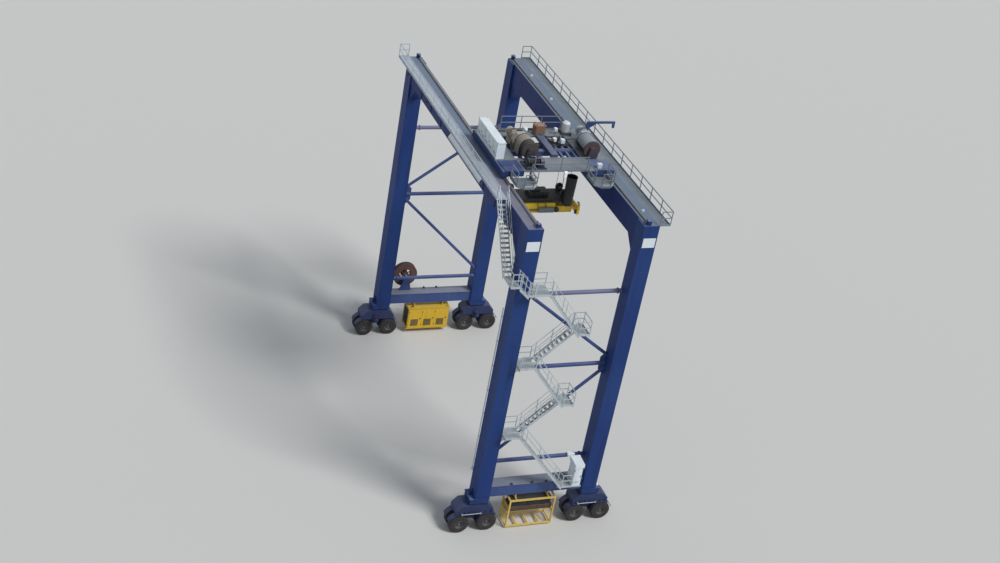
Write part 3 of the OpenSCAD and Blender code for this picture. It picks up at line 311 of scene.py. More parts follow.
class Parts:
    """Collects the faces of one piece before it becomes a mesh."""

    def __init__(self):
        self.points = []
        self.faces = []

    def add(self, points, faces):
        start = len(self.points)
        self.points += [Vector(p) for p in points]
        self.faces += [[start + i for i in f] for f in faces]

    def case(self, low, high, edge=0.006):
        """A box with its edges broken by a small chamfer."""
        spans = [sorted(pair) for pair in zip(low, high)]
        edge = min([edge] + [(b - a) * 0.3 for a, b in spans])
        points, index = [], {}
        ends = [(x, y, z) for x in (0, 1) for y in (0, 1) for z in (0, 1)]
        for end in ends:
            for axis in range(3):
                index[end + (axis,)] = len(points)
                points.append([spans[k][s] + (0 if k == axis else edge * (1 - 2 * s)) for k, s in enumerate(end)])
        faces = []
        for axis in range(3):
            a, b = [k for k in range(3) if k != axis]

            def at(s, u, v, k):
                key = [0, 0, 0]
                key[axis], key[a], key[b] = s, u, v
                return index[tuple(key) + (k,)]

            faces += [[at(s, u, v, axis) for u, v in ((0, 0), (1, 0), (1, 1), (0, 1))] for s in (0, 1)]
            faces += [[at(0, u, v, a), at(1, u, v, a), at(1, u, v, b), at(0, u, v, b)]
                      for u in (0, 1) for v in (0, 1)]
        faces += [[index[end + (k,)] for k in range(3)] for end in ends]
        self.add(points, faces)

    def post(self, x, y, wide, deep, low, high, edge=0.006):
        """A box from low to high round the middle (x, y)."""
        self.case((x - wide / 2, y - deep / 2, low), (x + wide / 2, y + deep / 2, high), edge)

    def turned(self, profile, centre, axis, sides=32, start=0.0, shut=True):
        """A lathe shape: profile points are (distance along axis, radius)."""
        axis = Vector(axis).normalized()
        side = Vector(x_way) if abs(axis.y) > 0.9 else axis.orthogonal().normalized()
        other = axis.cross(side)
        points, faces, n = [], [], len(profile)
        for k, (u, v) in enumerate(around(sides, start)):
            points += [Vector(centre) + axis * d + (side * u + other * v) * r for d, r in profile]
            here, there = k * n, (k + 1) % sides * n
            faces += [[here + i, there + i, there + i + 1, here + i + 1] for i in range(n - 1)]
        if shut:
            faces += [[k * n for k in range(sides)][::-1], [k * n + n - 1 for k in range(sides)]]
        self.add(points, faces)

    def hoop(self, at, axis, inner, outer, half, sides):
        """A flat ring round its middle, open on the inside."""
        self.turned([(-half, inner), (-half, outer), (half, outer), (half, inner)], at, axis, sides, shut=False)

    def rod(self, a, b, radius, sides=10):
        """A round bar between two points with softened ends."""
        along, lip = Vector(b) - Vector(a), radius * 0.2
        ends = [(0, radius - lip), (lip, radius), (along.length - lip, radius), (along.length, radius - lip)]
        self.turned(ends, a, along, sides)

    def pipe(self, route, radius, sides=8):
        """A bent pipe or cable that follows a route of points."""
        route = [Vector(p) for p in route]
        rounds, points, side = around(sides), [], None
        for before, p, after in zip(route[:1] + route, route, route[1:] + route[-1:]):
            onward = (after - before).normalized()
            side = onward.orthogonal() if side is None else side - onward * side.dot(onward)
            side.normalize()
            other = onward.cross(side)
            points += [p + (side * u + other * v) * radius for u, v in rounds]
        self.add(points, skin(len(route), sides))

    def slab(self, outline, axis, low, high):
        """A plate cut to an outline and as thick as low to high along an axis."""
        place_in, n = "xyz".index(axis), len(outline)
        faces = [list(range(n))[::-1], list(range(n, 2 * n))]
        faces += [[i, (i + 1) % n, n + (i + 1) % n, n + i] for i in range(n)]
        self.add([p[:place_in] + (d,) + p[place_in:] for d in (low, high) for p in outline], faces)

    def fins(self, a, b, inner, outer, count, thick=0.012, clear=None):
        """Thin plates round a body from a to b; clear(direction) may leave some out."""
        a, b = Vector(a), Vector(b)
        axis = (b - a).normalized()
        side = Vector(z_way) if abs(axis.z) < 0.9 else Vector(x_way)
        other = axis.cross(side)
        for u, v in around(count, 180 / count):
            out = side * u + other * v
            if clear and clear(out):
                continue
            flat = axis.cross(out) * thick / 2
            points = [base + out * r + flat * s for base in (a, b) for r in (inner, outer) for s in (-1, 1)]
            self.add(points, [[0, 1, 3, 2], [4, 6, 7, 5], [0, 4, 5, 1], [2, 3, 7, 6], [0, 2, 6, 4], [1, 5, 7, 3]])

    def coil(self, centre, axis, radius, rope, pitch, turns, steps=28):
        """Rope wound in even turns round a drum, outward from the centre both ways."""
        axis = Vector(axis).normalized()
        side = axis.orthogonal().normalized()
        other = axis.cross(side)
        route = []
        for k in range(int(turns * steps) + 1):
            angle = 2 * math.pi * k / steps
            out = (side * math.cos(angle) + other * math.sin(angle)) * radius
            route.append(Vector(centre) + axis * (pitch * (k / steps - turns / 2)) + out)
        self.pipe(route, rope, 6)

    def bolt(self, at, axis, size=0.03, height=0.02):
        """A hexagon bolt head on its washer."""
        self.turned([(0, size * 0.72), (height * 0.2, size * 0.72)], at, axis, 12)
        self.turned([(height * 0.2, size * 0.55), (height * 0.8, size * 0.55), (height, size * 0.45)], at, axis, 6)

    def bolt_ring(self, centre, axis, radius, count, size, height, start=0.0):
        """Bolts in a circle across the axis."""
        for u, v in around(count, start):
            self.bolt(sideways(centre, axis, radius * u, radius * v), axis, size, height)

    def fan_guard(self, centre, axis, depth, radii, spokes, sides):
        """Wire rings and spokes that stand off a fan's face by a depth."""
        wire = 0.006
        for r in radii:
            rim = [(0, r - wire), (depth, r - wire), (depth, r + wire), (0, r + wire)]
            self.turned(rim, centre, axis, sides, shut=False)
        middle = Vector(centre) + Vector(axis) * depth / 2
        for u, v in around(spokes):
            self.rod(middle, sideways(middle, axis, radii[-1] * u, radii[-1] * v), wire, 6)


def piece(name, parts, body, material, smooth=35):
    """Makes a mesh of the collected parts and lets it move with a body, where one is given."""
    shape = bpy.data.meshes.new(name)
    shape.from_pydata(parts.points, [], parts.faces)
    work = bmesh.new()
    work.from_mesh(shape)
    bmesh.ops.recalc_face_normals(work, faces=work.faces)
    for edge in work.edges:
        if len(edge.link_faces) == 2 and edge.calc_face_angle(0) > math.radians(smooth):
            edge.smooth = False
    for face in work.faces:
        face.smooth = True
    work.to_mesh(shape)
    work.free()
    shape.materials.append(material)
    made = stand(name, shape)
    if body:
        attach(made, body)
    return made


dark_steel = paint("greased_dark_steel", "232427", "2e2f32", "55534f", (0.2, 0.5, 0.35, 0.3), 0.55)
seams, foot_bolts = Parts(), Parts()
for end in (-1, 1):
    y0, y1 = sorted((end * leg_in_y, end * leg_out_y))
    for side in (-1, 1):
        x0, x1 = sorted((side * leg_in_x, side * leg_out_x))
        for z in (6.9, 10.8, 16.6, 21.4):
            for a, b in (((x0 - bead, y0 - bead), (x1 + bead, y0)), ((x0 - bead, y1), (x1 + bead, y1 + bead)),
                         ((x0 - bead, y0), (x0, y1)), ((x1, y0), (x1 + bead, y1))):
                seams.case(a + (z - band,), b + (z + band,), 0.002)
        for x in spread(x0 + 0.02, x1 - 0.02, 9):
            for y in (y0 - 0.02, y1 + 0.02):
                foot_bolts.bolt((x, y, foot_bolt_z), z_way, 0.04, 0.035)
for side in (-1, 1):
    for y in (-8.6, -3.0, 3.0, 8.6):
        for x in (web_in_x, web_out_x):
            seams.post(side * x, y, 2 * bead, 2 * band, 23.28, 24.95, 0.002)
        seams.case((side * 3.752, y - band, 23.244), (side * 4.648, y + band, 23.25), 0.002)
piece("weld_seams", seams, "portal", blue)
piece("foot_bolts", foot_bolts, "portal", dark_steel)

# Bare white plates, one on each leg below the girder: thin painted sheet, screwed to
# two galvanised straps that are welded across the leg's outer face.
white_paint = paint("cabinet_white", "dde6e9", "cdd8db", "b8bcba", (0.3, 0.5, 0.25, 0.12), 0.42, soot="6d6f6a")
galvanised = paint("dull_zinc", "8f979c", "a2aab0", "b4b8b8", (0.35, 0.7, 0.5, 0.22), metal=0.35, soot="3c4042")
leg_mid_x, strap_t, plate_front = 4.16, 0.02, 0.035
plates, straps = Parts(), Parts()
for side in (-1, 1):
    for out in (-1, 1):
        x, y = side * leg_mid_x, out * leg_out_y
        front = y + out * plate_front
        for z in (23.9, 23.48):
            straps.case((x - 0.44, y, z), (x + 0.44, y + out * strap_t, z + 0.06), 0.003)
        plates.case((x - 0.46, y + out * strap_t, 23.36), (x + 0.46, front, 24.08), 0.005)
        for dx in (-0.38, 0.38):
            for z in (23.51, 23.93):
                straps.bolt((x + dx, front, z), (0, out, 0), 0.02, 0.01)
piece("leg_plates", plates, "portal", white_paint)
piece("leg_plate_straps", straps, "portal", galvanised)

# Sills and end bracing: boxes and tubes in the same blue, paler on their upward faces from
# dust and painted sheen of the sky; flanged tube joints are bolted near the legs.
pale_blue = paint("faded_blue_paint", "3a4c7c", "4c5e8c", "7f838c", (0.3, 0.7, 0.95, 0.3), shine=0.2, cover=0.75)
brace_blue = paint("brace_blue_paint", "38497a", "48598a", "6f7688", (0.3, 0.7, 0.5, 0.3), shine=0.2)
patched(brace_blue, ("696c8c", {"Z": (19.0, 19.8)}))
dress(["near_sill", "far_sill"], pale_blue)
dress(["near_bracing", "far_bracing"], brace_blue)
tie_x, tie_y, low_tie_z, mid_tie_z, high_tie_z = 3.3, 12.37, 5.45, 13.45, 19.4
collars = Parts()
for y in (-tie_y, tie_y):
    for z in (low_tie_z, mid_tie_z, high_tie_z):
        for x in (-tie_x, tie_x):
            if z == mid_tie_z and (x > 0) == (y < 0):
                continue
            collars.hoop((x, y, z), x_way, 0.15, 0.21, 0.03, 28)
            for out in (-1, 1):
                collars.bolt_ring((x + out * 0.03, y, z), (out, 0, 0), 0.18, 8, 0.022, 0.02, 22.5)
piece("brace_flanges", collars, "portal", brace_blue)

# Treads, landings and walkways are galvanised grating in angle frames; handrails are
# bolted tube. The grating is drawn as bars on its level faces, with painted shade in the gaps.


def grating_group():
    """Masks for the painted shade in the gaps and the height of square grating bars on level faces."""
    tree, takes, gives = new_group("grating_bars", {"Pitch": 0.09}, ["Gap", "Height"])
    spots = place(tree, "ShaderNodeSeparateXYZ", {0: crane_place(tree)}).outputs
    hole = step(tree, maths(tree, "ABSOLUTE", facing_up(tree)), 0.85, 0.95)
    for axis in ("X", "Y"):
        share = maths(tree, "FRACT", maths(tree, "DIVIDE", spots[axis], takes["Pitch"]))
        share = maths(tree, "ABSOLUTE", maths(tree, "SUBTRACT", share, 0.5))
        hole = maths(tree, "MULTIPLY", hole, step(tree, share, 0.36, 0.28))
    tree.links.new(hole, gives["Gap"])
    tree.links.new(maths(tree, "SUBTRACT", 1.0, hole), gives["Height"])
    return tree


grating_bars = grating_group()


def grating(name, base, faded, pitch, depth):
    """Zinc grating: weathered bars with painted shade in the square gaps between them."""
    made = paint(name, base, faded, "a7abab", (0.3, 0.7, 0.3, 0.25), 0.52, 0.3, soot="3c4042")
    tree = made.node_tree
    shader = tree.nodes["Principled BSDF"].inputs
    bars = place(tree, "ShaderNodeGroup", {"Pitch": pitch}, node_tree=grating_bars).outputs
    under = shader["Base Color"].links[0].from_socket
    # The gaps hold no holes: the dark colour there is painted shade seen through the grating.
    tree.links.new(tint(tree, bars["Gap"], under, colour("34393d"), depth), shader["Base Color"])
    dents = place(tree, "ShaderNodeBump", {"Height": bars["Height"], "Strength": 0.5, "Distance": 0.02})
    tree.links.new(dents.outputs[0], shader["Normal"])
    return made


# Both walkways are one zinc grating: their blue-grey cast is painted sky light, and the right one is painted darker
# than the left.
dress(["left_walkway"], grating("left_walkway_grating", "b0bbc6", "c0cad3", 0.11, 0.45))
dress(["right_walkway"], grating("right_walkway_grating", "74828f", "8493a0", 0.11, 0.5))
dress(["girder_stair", "stair_tower", "stair_treads"], grating("stair_grating", "b2bcc0", "c2cace", 0.08, 0.45))
dress(["trolley_deck"], grating("trolley_grating", "767f8a", "868f9a", 0.1, 0.5))
rail_steel = paint("worn_rail_steel", "6c6a68", "7d7b7a", "8d8a86", (0.2, 0.5, 0.3, 0.7), 0.45, 0.6, rust="6b4530")
dress(["trolley_rails"], rail_steel)

# White cabinets of folded sheet: the one by the foot of the stair and the long one on the
# trolley, with flush doors, turn handles, hinges and louvres.
dress(["sill_cabinet", "trolley_cabinet"], white_paint)


def cabinet_front(kit, at, door_z, wide, facing, count, along="y"):
    """Door panels with a gap between them on one upright face of a cabinet."""
    doors, fittings, vents = kit
    low_z, high_z = door_z

    def on_face(parts, a, b, back, front, low, high, edge):
        ends = [(s, facing * d, z) if along == "x" else (facing * d, s, z)
                for s, d, z in ((a, back, low), (b, front, high))]
        parts.case(shift(ends[0], *at), shift(ends[1], *at), edge)

    for k in range(count):
        a = -wide / 2 + wide * k / count + 0.03
        b = -wide / 2 + wide * (k + 1) / count - 0.03
        lock_z = (low_z + high_z) / 2
        on_face(doors, a, b, 0, 0.018, low_z, high_z, 0.006)
        on_face(fittings, b - 0.09, b - 0.05, 0.018, 0.045, lock_z - 0.09, lock_z + 0.09, 0.006)
        for h in (0.15, 0.85):
            z = low_z + (high_z - low_z) * h
            on_face(fittings, a - 0.012, a + 0.02, 0.004, 0.026, z - 0.05, z + 0.05, 0.004)
        for j in range(6):
            z = low_z + 0.14 + j * 0.035
            on_face(vents, a + 0.12, b - 0.12, 0.016, 0.026, z, z + 0.018, 0.003)


def fit_cabinet(tag, body, kit, fitting_paint):
    """Makes the doors, fittings and louvres of one cabinet."""
    piece(tag + "_doors", kit[0], body, white_paint)
    piece(tag + "_fittings", kit[1], body, fitting_paint)
    piece(tag + "_louvres", kit[2], body, galvanised)


low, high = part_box("sill_cabinet")
mid, hood = (low + high) / 2, 0.06
kit, door_z, side_wide = [Parts(), Parts(), Parts()], (low.z + 0.1, high.z - 0.42), high.y - low.y - 2 * hood - 0.06
cabinet_front(kit, (mid.x, low.y + hood), door_z, high.x - low.x - 2 * hood, -1, 1, "x")
cabinet_front(kit, (low.x + hood, mid.y), door_z, side_wide, -1, 1)
cabinet_front(kit, (high.x - hood, mid.y), door_z, side_wide, 1, 1)
fit_cabinet("sill_cabinet", "portal", kit, dark_steel)
low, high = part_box("trolley_cabinet")
kit, door_z, mid = [Parts(), Parts(), Parts()], (low.z + 0.08, high.z - 0.12), (low + high) / 2
for x, facing in ((low.x + 0.03, -1), (high.x - 0.03, 1)):
    cabinet_front(kit, (x, mid.y), door_z, high.y - low.y - 0.1, facing, 5)
for y in spread(low.y + 0.16, high.y - 0.16, 14):
    kit[0].case((low.x + 0.02, y - 0.025, high.z), (high.x - 0.02, y + 0.025, high.z + 0.03), 0.008)
lifting_eye = [(0, 0.05), (0.012, 0.05), (0.016, 0.025), (0.035, 0.025), (0.042, 0.012)]
for x in (low.x + 0.05, high.x - 0.05):
    for y in (low.y + 0.05, high.y - 0.05):
        kit[1].turned(lifting_eye, (x, y, high.z), z_way, 12)
fit_cabinet("trolley_cabinet", "trolley", kit, galvanised)

# The equipment cage hangs under the near sill on welded hangers: a yellow frame round a
# brown trunk with lids, with bars at its sides and a dark cooler with three fans inside.
cage_yellow = paint("cage_yellow_paint", "d9b95a", "cfb468", "b9ab80", (0.3, 0.6, 0.3, 0.5), 0.46, soot="4a3d1c")
patched(cage_yellow, ("4a3524", {"X": (-1.835, 1.535), "Z": (1.352, 1.78)}))
dress(["equipment_cage"], cage_yellow)
dress(["cage_unit"], dark_steel)
guards, unit_bolts, mesh, lids = Parts(), Parts(), Parts(), Parts()
low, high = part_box("cage_unit")
mid = (low + high) / 2
fan_r = (high.z - low.z - 0.12) / 2
for x in (low.x + 0.45, mid.x, high.x - 0.45):
    guards.fan_guard((x, low.y + 0.001, mid.z), y_way, -0.012, [fan_r * s for s in (0.25, 0.5, 0.75, 1.0)], 8, 36)
for x in spread(low.x + 0.12, high.x - 0.12, 11):
    unit_bolts.bolt((x, mid.y, high.z), z_way, 0.03, 0.02)
    guards.case((x - 0.02, high.y, low.z + 0.05), (x + 0.02, high.y + 0.02, high.z - 0.05), 0.004)
piece("cage_unit_guards", guards, "portal", dark_steel)
piece("cage_unit_bolts", unit_bolts, "portal", dark_steel)
low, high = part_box("equipment_cage")
left_bar, right_bar, back_bar = low.x + 0.055, high.x - 0.055, high.y - 0.055
bar_feet, bar_top, lid_step = low.z + 0.1, 1.25, (high.x - low.x - 0.28) / 3
bars = [(x, y) for x in (left_bar, right_bar) for y in spread(low.y + 0.11, high.y - 0.11, 10)[1:-1]]
bars += [(x, back_bar) for x in spread(low.x + 0.11, high.x - 0.11, 25)[1:-1]]
for x, y in bars:
    mesh.rod((x, y, bar_feet), (x, y, bar_top), 0.008, 6)
for z in (0.5, 0.85):
    mesh.rod((low.x + 0.1, back_bar, z), (high.x - 0.1, back_bar, z), 0.01, 6)
    for x in (left_bar, right_bar):
        mesh.rod((x, low.y + 0.1, z), (x, high.y - 0.1, z), 0.01, 6)
for k in range(3):
    a = low.x + 0.14 + lid_step * k
    b = a + lid_step - 0.04
    lids.case((a, low.y + 0.24, 1.38), (b, low.y + 0.262, 1.74), 0.006)
    lids.case(((a + b) / 2 - 0.06, low.y + 0.225, 1.66), ((a + b) / 2 + 0.06, low.y + 0.242, 1.72), 0.004)
piece("cage_mesh", mesh, "portal", cage_yellow)
piece("cage_trunk_lids", lids, "portal", cage_yellow)

# Power pack: a canopy of folded sheet with three doors a side, radiator grilles at both
# ends, and the exhaust with its rain flap through the roof.
yellow = paint("worn_yellow_paint", "d3ab22", "c7a233", "b5a468", (0.45, 0.6, 0.35, 0.5), 0.46, soot="4a3d1c")
dress(["power_pack"], yellow)
low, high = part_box("power_pack")
roof_z, base_z = 2.5, low.z + 0.1
side_x, near_y, far_y = high.x - 0.1, low.y + 0.05, high.y - 0.05
door_step = (2 * side_x - 0.16) / 3
pack_doors, grilles, pack_fittings, exhaust = Parts(), Parts(), Parts(), Parts()
for k in range(3):
    a = -side_x + 0.08 + door_step * k
    b = a + door_step - 0.05
    for y, out in ((near_y, -1), (far_y, 1)):
        pack_doors.case((a, y, base_z + 0.1), (b, y + out * 0.02, roof_z - 0.2), 0.008)
        for h in (0.2, 0.8):
            z = base_z + (roof_z - base_z) * h
            pack_fittings.case((a - 0.015, y, z - 0.06), (a + 0.03, y + out * 0.03, z + 0.06), 0.005)
        pack_fittings.case((b - 0.16, y + out * 0.02, 1.4), (b - 0.06, y + out * 0.05, 1.52), 0.01)
        for j in range(12):
            z = base_z + 0.3 + j * 0.055
            grilles.case((a + 0.18, y + out * 0.015, z), (b - 0.25, y + out * 0.034, z + 0.03), 0.004)
for out in (-1, 1):
    for j in range(26):
        z = base_z + 0.2 + j * 0.06
        grilles.case((out * side_x, near_y + 0.18, z), (out * (side_x + 0.03), far_y - 0.18, z + 0.03), 0.004)
pipe_foot = (1.35, far_y - 0.25, roof_z)
exhaust.turned([(0, 0.13), (0.03, 0.13), (0.03, 0.085), (0.32, 0.085)], pipe_foot, z_way, 20)
exhaust.turned([(0, 0.1), (0.02, 0.1), (0.03, 0.05)], shift(pipe_foot, z=0.33), (0.25, 0, 1), 20)
pack_fittings.turned([(0, 0.08), (0.05, 0.08), (0.07, 0.05)], (-1.4, near_y + 0.25, roof_z), z_way, 16)
for x in (-1.6, 1.6):
    for y in (near_y + 0.12, far_y - 0.12):
        pack_fittings.hoop((x, y, roof_z + 0.06), x_way, 0.035, 0.055, 0.02, 16)
piece("power_pack_doors", pack_doors, "portal", yellow)
piece("power_pack_grilles", grilles, "portal", dark_steel)
piece("power_pack_fittings", pack_fittings, "portal", dark_steel)
piece("power_pack_exhaust", exhaust, "portal", galvanised)

# The cable reel: two spoked cheeks of rusty primer bolted to a hub, with the trailing
# cable wound between them in three layers.
brown = paint("rusty_primer", "5b4138", "6b4b3e", "7c6c62", (0.35, 0.6, 0.35, 0.55), 0.6)
cable_black = paint("cable_jacket", "1e1e20", "2a2a2c", "55524e", (0.1, 0.6, 0.4, 0.1), 0.6)
dress(["cable_reel"], brown)
low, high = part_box("cable_reel")
reel_mid, reel_wide = Vector(((low.x + high.x) / 2, low.y + 0.21, (low.z + high.z) / 2)), 0.42
reel_turns, reel_bolts = Parts(), Parts()
for layer in range(3):
    reel_turns.coil(reel_mid, y_way, 0.955 + 0.02 * layer, 0.024, 0.05, 7, 56)
for r in (0.27, 0.98):
    for out in (-1, 1):
        reel_bolts.bolt_ring(shift(reel_mid, y=out * reel_wide / 2), (0, out, 0), r, 8, 0.032, 0.03)
hub = [(0, 0.16), (0.03, 0.16), (0.05, 0.11), (0.13, 0.11), (0.15, 0.09)]
reel_bolts.turned(hub, shift(reel_mid, y=reel_wide / 2), y_way, 24)
piece("reel_cable", reel_turns, "cable_reel", cable_black)
piece("reel_bolts", reel_bolts, "cable_reel", dark_steel)

# Bogies: welded yokes in dark blue under road dirt, bolted to a slewing ring under the
# leg, with guards over the tyres, a steering rod outside and the travel motor inside.
bogie_blue = paint("dirty_bogie_blue", "1b2852", "26345c", "464c63", (0.4, 0.6, 0.6, 0.45), 0.6)
bogies = [corner + "_bogie" for corner in corners]
dress(bogies, bogie_blue)
axle_z, half_base = 0.75, 1.05
slew_z, shelf_z, rod_z, motor_z = 2.35, 1.64, 1.73, 1.78
for name in bogies:
    low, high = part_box(name)
    mid_x, mid_y = (low.x + high.x) / 2, (low.y + high.y) / 2
    out = 1 if mid_y > 0 else -1
    face, rod_y, motor_x = mid_y + out * 0.64, mid_y + out * 0.75, mid_x - 0.25
    steering, bogie_bolts, covers = Parts(), Parts(), Parts()
    bogie_bolts.bolt_ring((mid_x, mid_y, slew_z), z_way, 0.46, 20, 0.034, 0.03)
    for x in (mid_x - half_base, mid_x + half_base):
        hub_cap = [(0, 0.12), (out * 0.02, 0.12), (out * 0.035, 0.08)]
        covers.turned(hub_cap, (x, mid_y + out * 0.165, axle_z), y_way, 20)
        bogie_bolts.bolt_ring((x, mid_y + out * 0.185, axle_z), (0, out, 0), 0.1, 6, 0.02, 0.02)
    for x in spread(mid_x - 1.2, mid_x + 1.2, 7):
        covers.case((x - 0.012, face, shelf_z), (x + 0.012, face + out * 0.05, 1.93), 0.004)
    covers.case((mid_x - 1.38, face, 1.6), (mid_x + 1.38, face + out * 0.07, shelf_z), 0.005)
    steering.rod((mid_x - 1.0, rod_y, rod_z), (mid_x + 0.4, rod_y, rod_z), 0.034, 14)
    for x in (mid_x - 1.0, mid_x + 0.4):
        steering.case((x - 0.05, face, 1.68), (x + 0.05, face + out * 0.16, 1.78), 0.008)
    covers.case((mid_x - 0.32, face, 2.0), (mid_x + 0.32, face + out * 0.02, 2.28), 0.006)
    motor = [(0, 0.2), (0.3, 0.2), (0.32, 0.17), (0.5, 0.17), (0.52, 0.14)]
    covers.turned(motor, (motor_x, mid_y - out * 0.66, motor_z), (0, -out, 0), 24)
    covers.fins((motor_x, mid_y - out * 0.98, motor_z), (motor_x, mid_y - out * 1.14, motor_z), 0.165, 0.2, 22)
    bogie_bolts.turned([(0, 0.035), (0.05, 0.035), (0.06, 0.02)], (mid_x + 0.9, mid_y, 2.18), (0.5, 0, 1), 12)
    piece(name + "_steering", steering, name, galvanised)
    piece(name + "_bolts", bogie_bolts, name, dark_steel)
    piece(name + "_covers", covers, name, bogie_blue)

# Wheels: two tyres to an axle, with lugs staggered round the tread, on dished and welded
# rims with ten nuts round each hub.
rubber = paint("dusty_rubber", "292627", "353132", "67615c", (0.0, 0.7, 0.4, 0.45), 0.85, rust="5b534c")
rim_paint = paint("rim_grey", "4c4c4f", "5a5a5b", "6b6863", (0.3, 0.6, 0.3, 0.4))
tyre_r, tyre_y, lug_columns = 0.75, 0.445, 112
half_tyre = [(-0.175, 0.3205), (-0.215, 0.40), (-0.215, 0.50), (-0.21, 0.62), (-0.2, 0.675), (-0.175, 0.712),
             (-0.16, 0.722), (-0.13, 0.735), (-0.09, 0.735), (-0.05, 0.735), (-0.015, 0.735)]
tyre_section = half_tyre + [(-y, r) for y, r in reversed(half_tyre)]
rim_section = [(-0.185, 0.2), (-0.185, 0.3), (-0.205, 0.325), (-0.19, 0.335), (-0.17, 0.318), (0.17, 0.318),
               (0.19, 0.335), (0.205, 0.325), (0.185, 0.3), (0.06, 0.27), (0.03, 0.19), (0.05, 0.17),
               (0.05, 0.11), (0.12, 0.105), (0.135, 0.09)]


def wheel_parts(centre):
    """The tyres, and the rims with hubs and nuts, of one axle."""
    tyres, rims, n = Parts(), Parts(), len(tyre_section)
    for out in (-1, 1):
        mid = shift(centre, y=out * tyre_y)
        points, faces = [], []
        for k, (u, v) in enumerate(around(lug_columns)):
            for i, (y, r) in enumerate(tyre_section):
                lug = (k + (2 if y > 0 else 0)) % 4 < 2
                if r > 0.7 and lug and 0.02 < abs(y) < 0.165:
                    r = tyre_r
                points.append(shift(mid, r * u, y, r * v))
                there, beside = (k + 1) % lug_columns * n, (i + 1) % n
                faces.append([k * n + i, there + i, there + beside, k * n + beside])
        tyres.add(points, faces)
        rims.turned([(out * d, r) for d, r in rim_section], mid, y_way, 40)
        rims.bolt_ring(shift(mid, y=out * 0.045), (0, out, 0), 0.225, 10, 0.026, 0.035)
    rims.rod(shift(centre, y=-0.5), shift(centre, y=0.5), 0.09, 24)
    return tyres, rims


for name in bogies:
    low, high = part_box(name)
    for tag, dx in (("a", -half_base), ("b", half_base)):
        node = name.replace("bogie", "wheels_" + tag)
        tyres, rims = wheel_parts(((low.x + high.x) / 2 + dx, (low.y + high.y) / 2, axle_z))
        shown = piece(node + "_tyres", tyres, node, rubber, 28)
        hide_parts(node)
        piece(node + "_rims", rims, node, rim_paint)

# Trolley frame and hoist drives: castings and motors in two greys, one drive beige with
# old grease, with ribbed motors, bolted bearing caps, brakes and couplings.
trolley_blue = paint("trolley_blue_paint", "3a4a76", "4a5a86", "7b839a", (0.45, 0.6, 0.75, 0.5),
                     shine=0.15, cover=0.45)
patched(trolley_blue, ("2a3f70", {"X": (-4.3, -2.55)}))
dress(["trolley_frame"], trolley_blue)
machine_grey = paint("machine_grey", "77797a", "868787", "8b8984", (0.4, 0.6, 0.4, 0.35))
drive_paint = paint("drive_grey", "9aa3ab", "abb2b6", "a5a39c", (0.45, 0.6, 0.4, 0.4))
left_drive = {"X": (-3.0, 0.0)}
patched(drive_paint, ("a49c8b", left_drive), ("6b6255", {**left_drive, "Y": (-3.5, -3.0), "Z": (24.0, 26.1)}),
        ("3a3a40", {"Y": (-6.5, -4.8)}))
dress(["hoist_machinery"], drive_paint)
drum_steel = paint("greased_drum_steel", "4a4442", "59504c", "77706a", (0.3, 0.6, 0.45, 0.5))
patched(drum_steel, ("4c3d3e", {"X": (0.5, 4.0)}))
dress(["left_drum", "right_drum"], drum_steel)
beam_top, deck_top, rope_drop_y = 25.59, 25.63, -3.58
gear_parts, gear_bolts, brakes = Parts(), Parts(), Parts()
for tag, side in (("left_drum", -1), ("right_drum", 1)):
    low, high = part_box(tag)
    mid = (low + high) / 2
    box_x, box_y = mid.x + side * 0.12, mid.y + 0.78
    motor = Vector((mid.x + side * 0.35, box_y + 0.45, mid.z - 0.04))
    gear_parts.fins(shift(motor, y=0.07), shift(motor, y=1.03), 0.275, 0.315, 40, 0.01,
                    clear=lambda out: out.z > 0.86 or out.z < -0.6)
    for k in range(5):
        y = box_y + 0.07 + 0.09 * k
        for x in (box_x - 0.6, box_x + 0.58):
            gear_parts.case((x, y, mid.z - 0.5), (x + 0.02, y + 0.02, mid.z - 0.02), 0.003)
    gear_parts.turned([(0, 0.2), (-0.02, 0.2), (-0.03, 0.15)], (mid.x, box_y, mid.z), y_way, 28)
    gear_parts.turned([(0, 0.26), (0.05, 0.26), (0.06, 0.2)], shift(motor, y=1.3), y_way, 28)
    gear_bolts.bolt_ring(shift(motor, y=1.355), y_way, 0.23, 8, 0.02, 0.015, 10)
    for x in spread(box_x - 0.5, box_x + 0.5, 8):
        gear_bolts.bolt((x, box_y + 0.45, mid.z), y_way, 0.028, 0.02)
    brakes.turned([(0, 0.28), (0.03, 0.28)], shift(motor, y=1.02), y_way, 32)
    brakes.case(shift(motor, -0.14, 0.55, 0.398), shift(motor, 0.14, 0.75, 0.43), 0.01)
    drop_x = mid.x - side * 0.578
    gear_bolts.rod((drop_x, rope_drop_y, mid.z), (drop_x, rope_drop_y, 25.6), 0.014, 8)
    windings, flange_bolts = Parts(), Parts()
    windings.coil(mid, y_way, 0.542, 0.014, 0.033, 40, 40)
    piece(tag + "_rope", windings, tag, cable_black)
    for y, out in ((low.y + 0.18, -1), (high.y - 0.18, 1)):
        flange_bolts.bolt_ring((mid.x, y, mid.z), (0, out, 0), 0.48, 16, 0.026, 0.02)
    piece(tag + "_bolts", flange_bolts, tag, drum_steel)
piece("drive_ribs", gear_parts, "trolley", drive_paint)
piece("drive_bolts", gear_bolts, "trolley", dark_steel)
piece("drive_brakes", brakes, "trolley", dark_steel)

# Rope guards: a bent sheet over the top of each drum, stiffened by a band at both ends,
# with one long leg down to the deck; pale grey on the right and beige on the left.
guard_paint = paint("rope_guard_grey", "757f86", "848d93", "9c9f9f", (0.35, 0.6, 0.4, 0.4), soot="50524f")
patched(guard_paint, ("857f74", left_drive))
guard_inner, guard_outer, guard_band = 0.574, 0.586, 0.598
rope_guards = Parts()


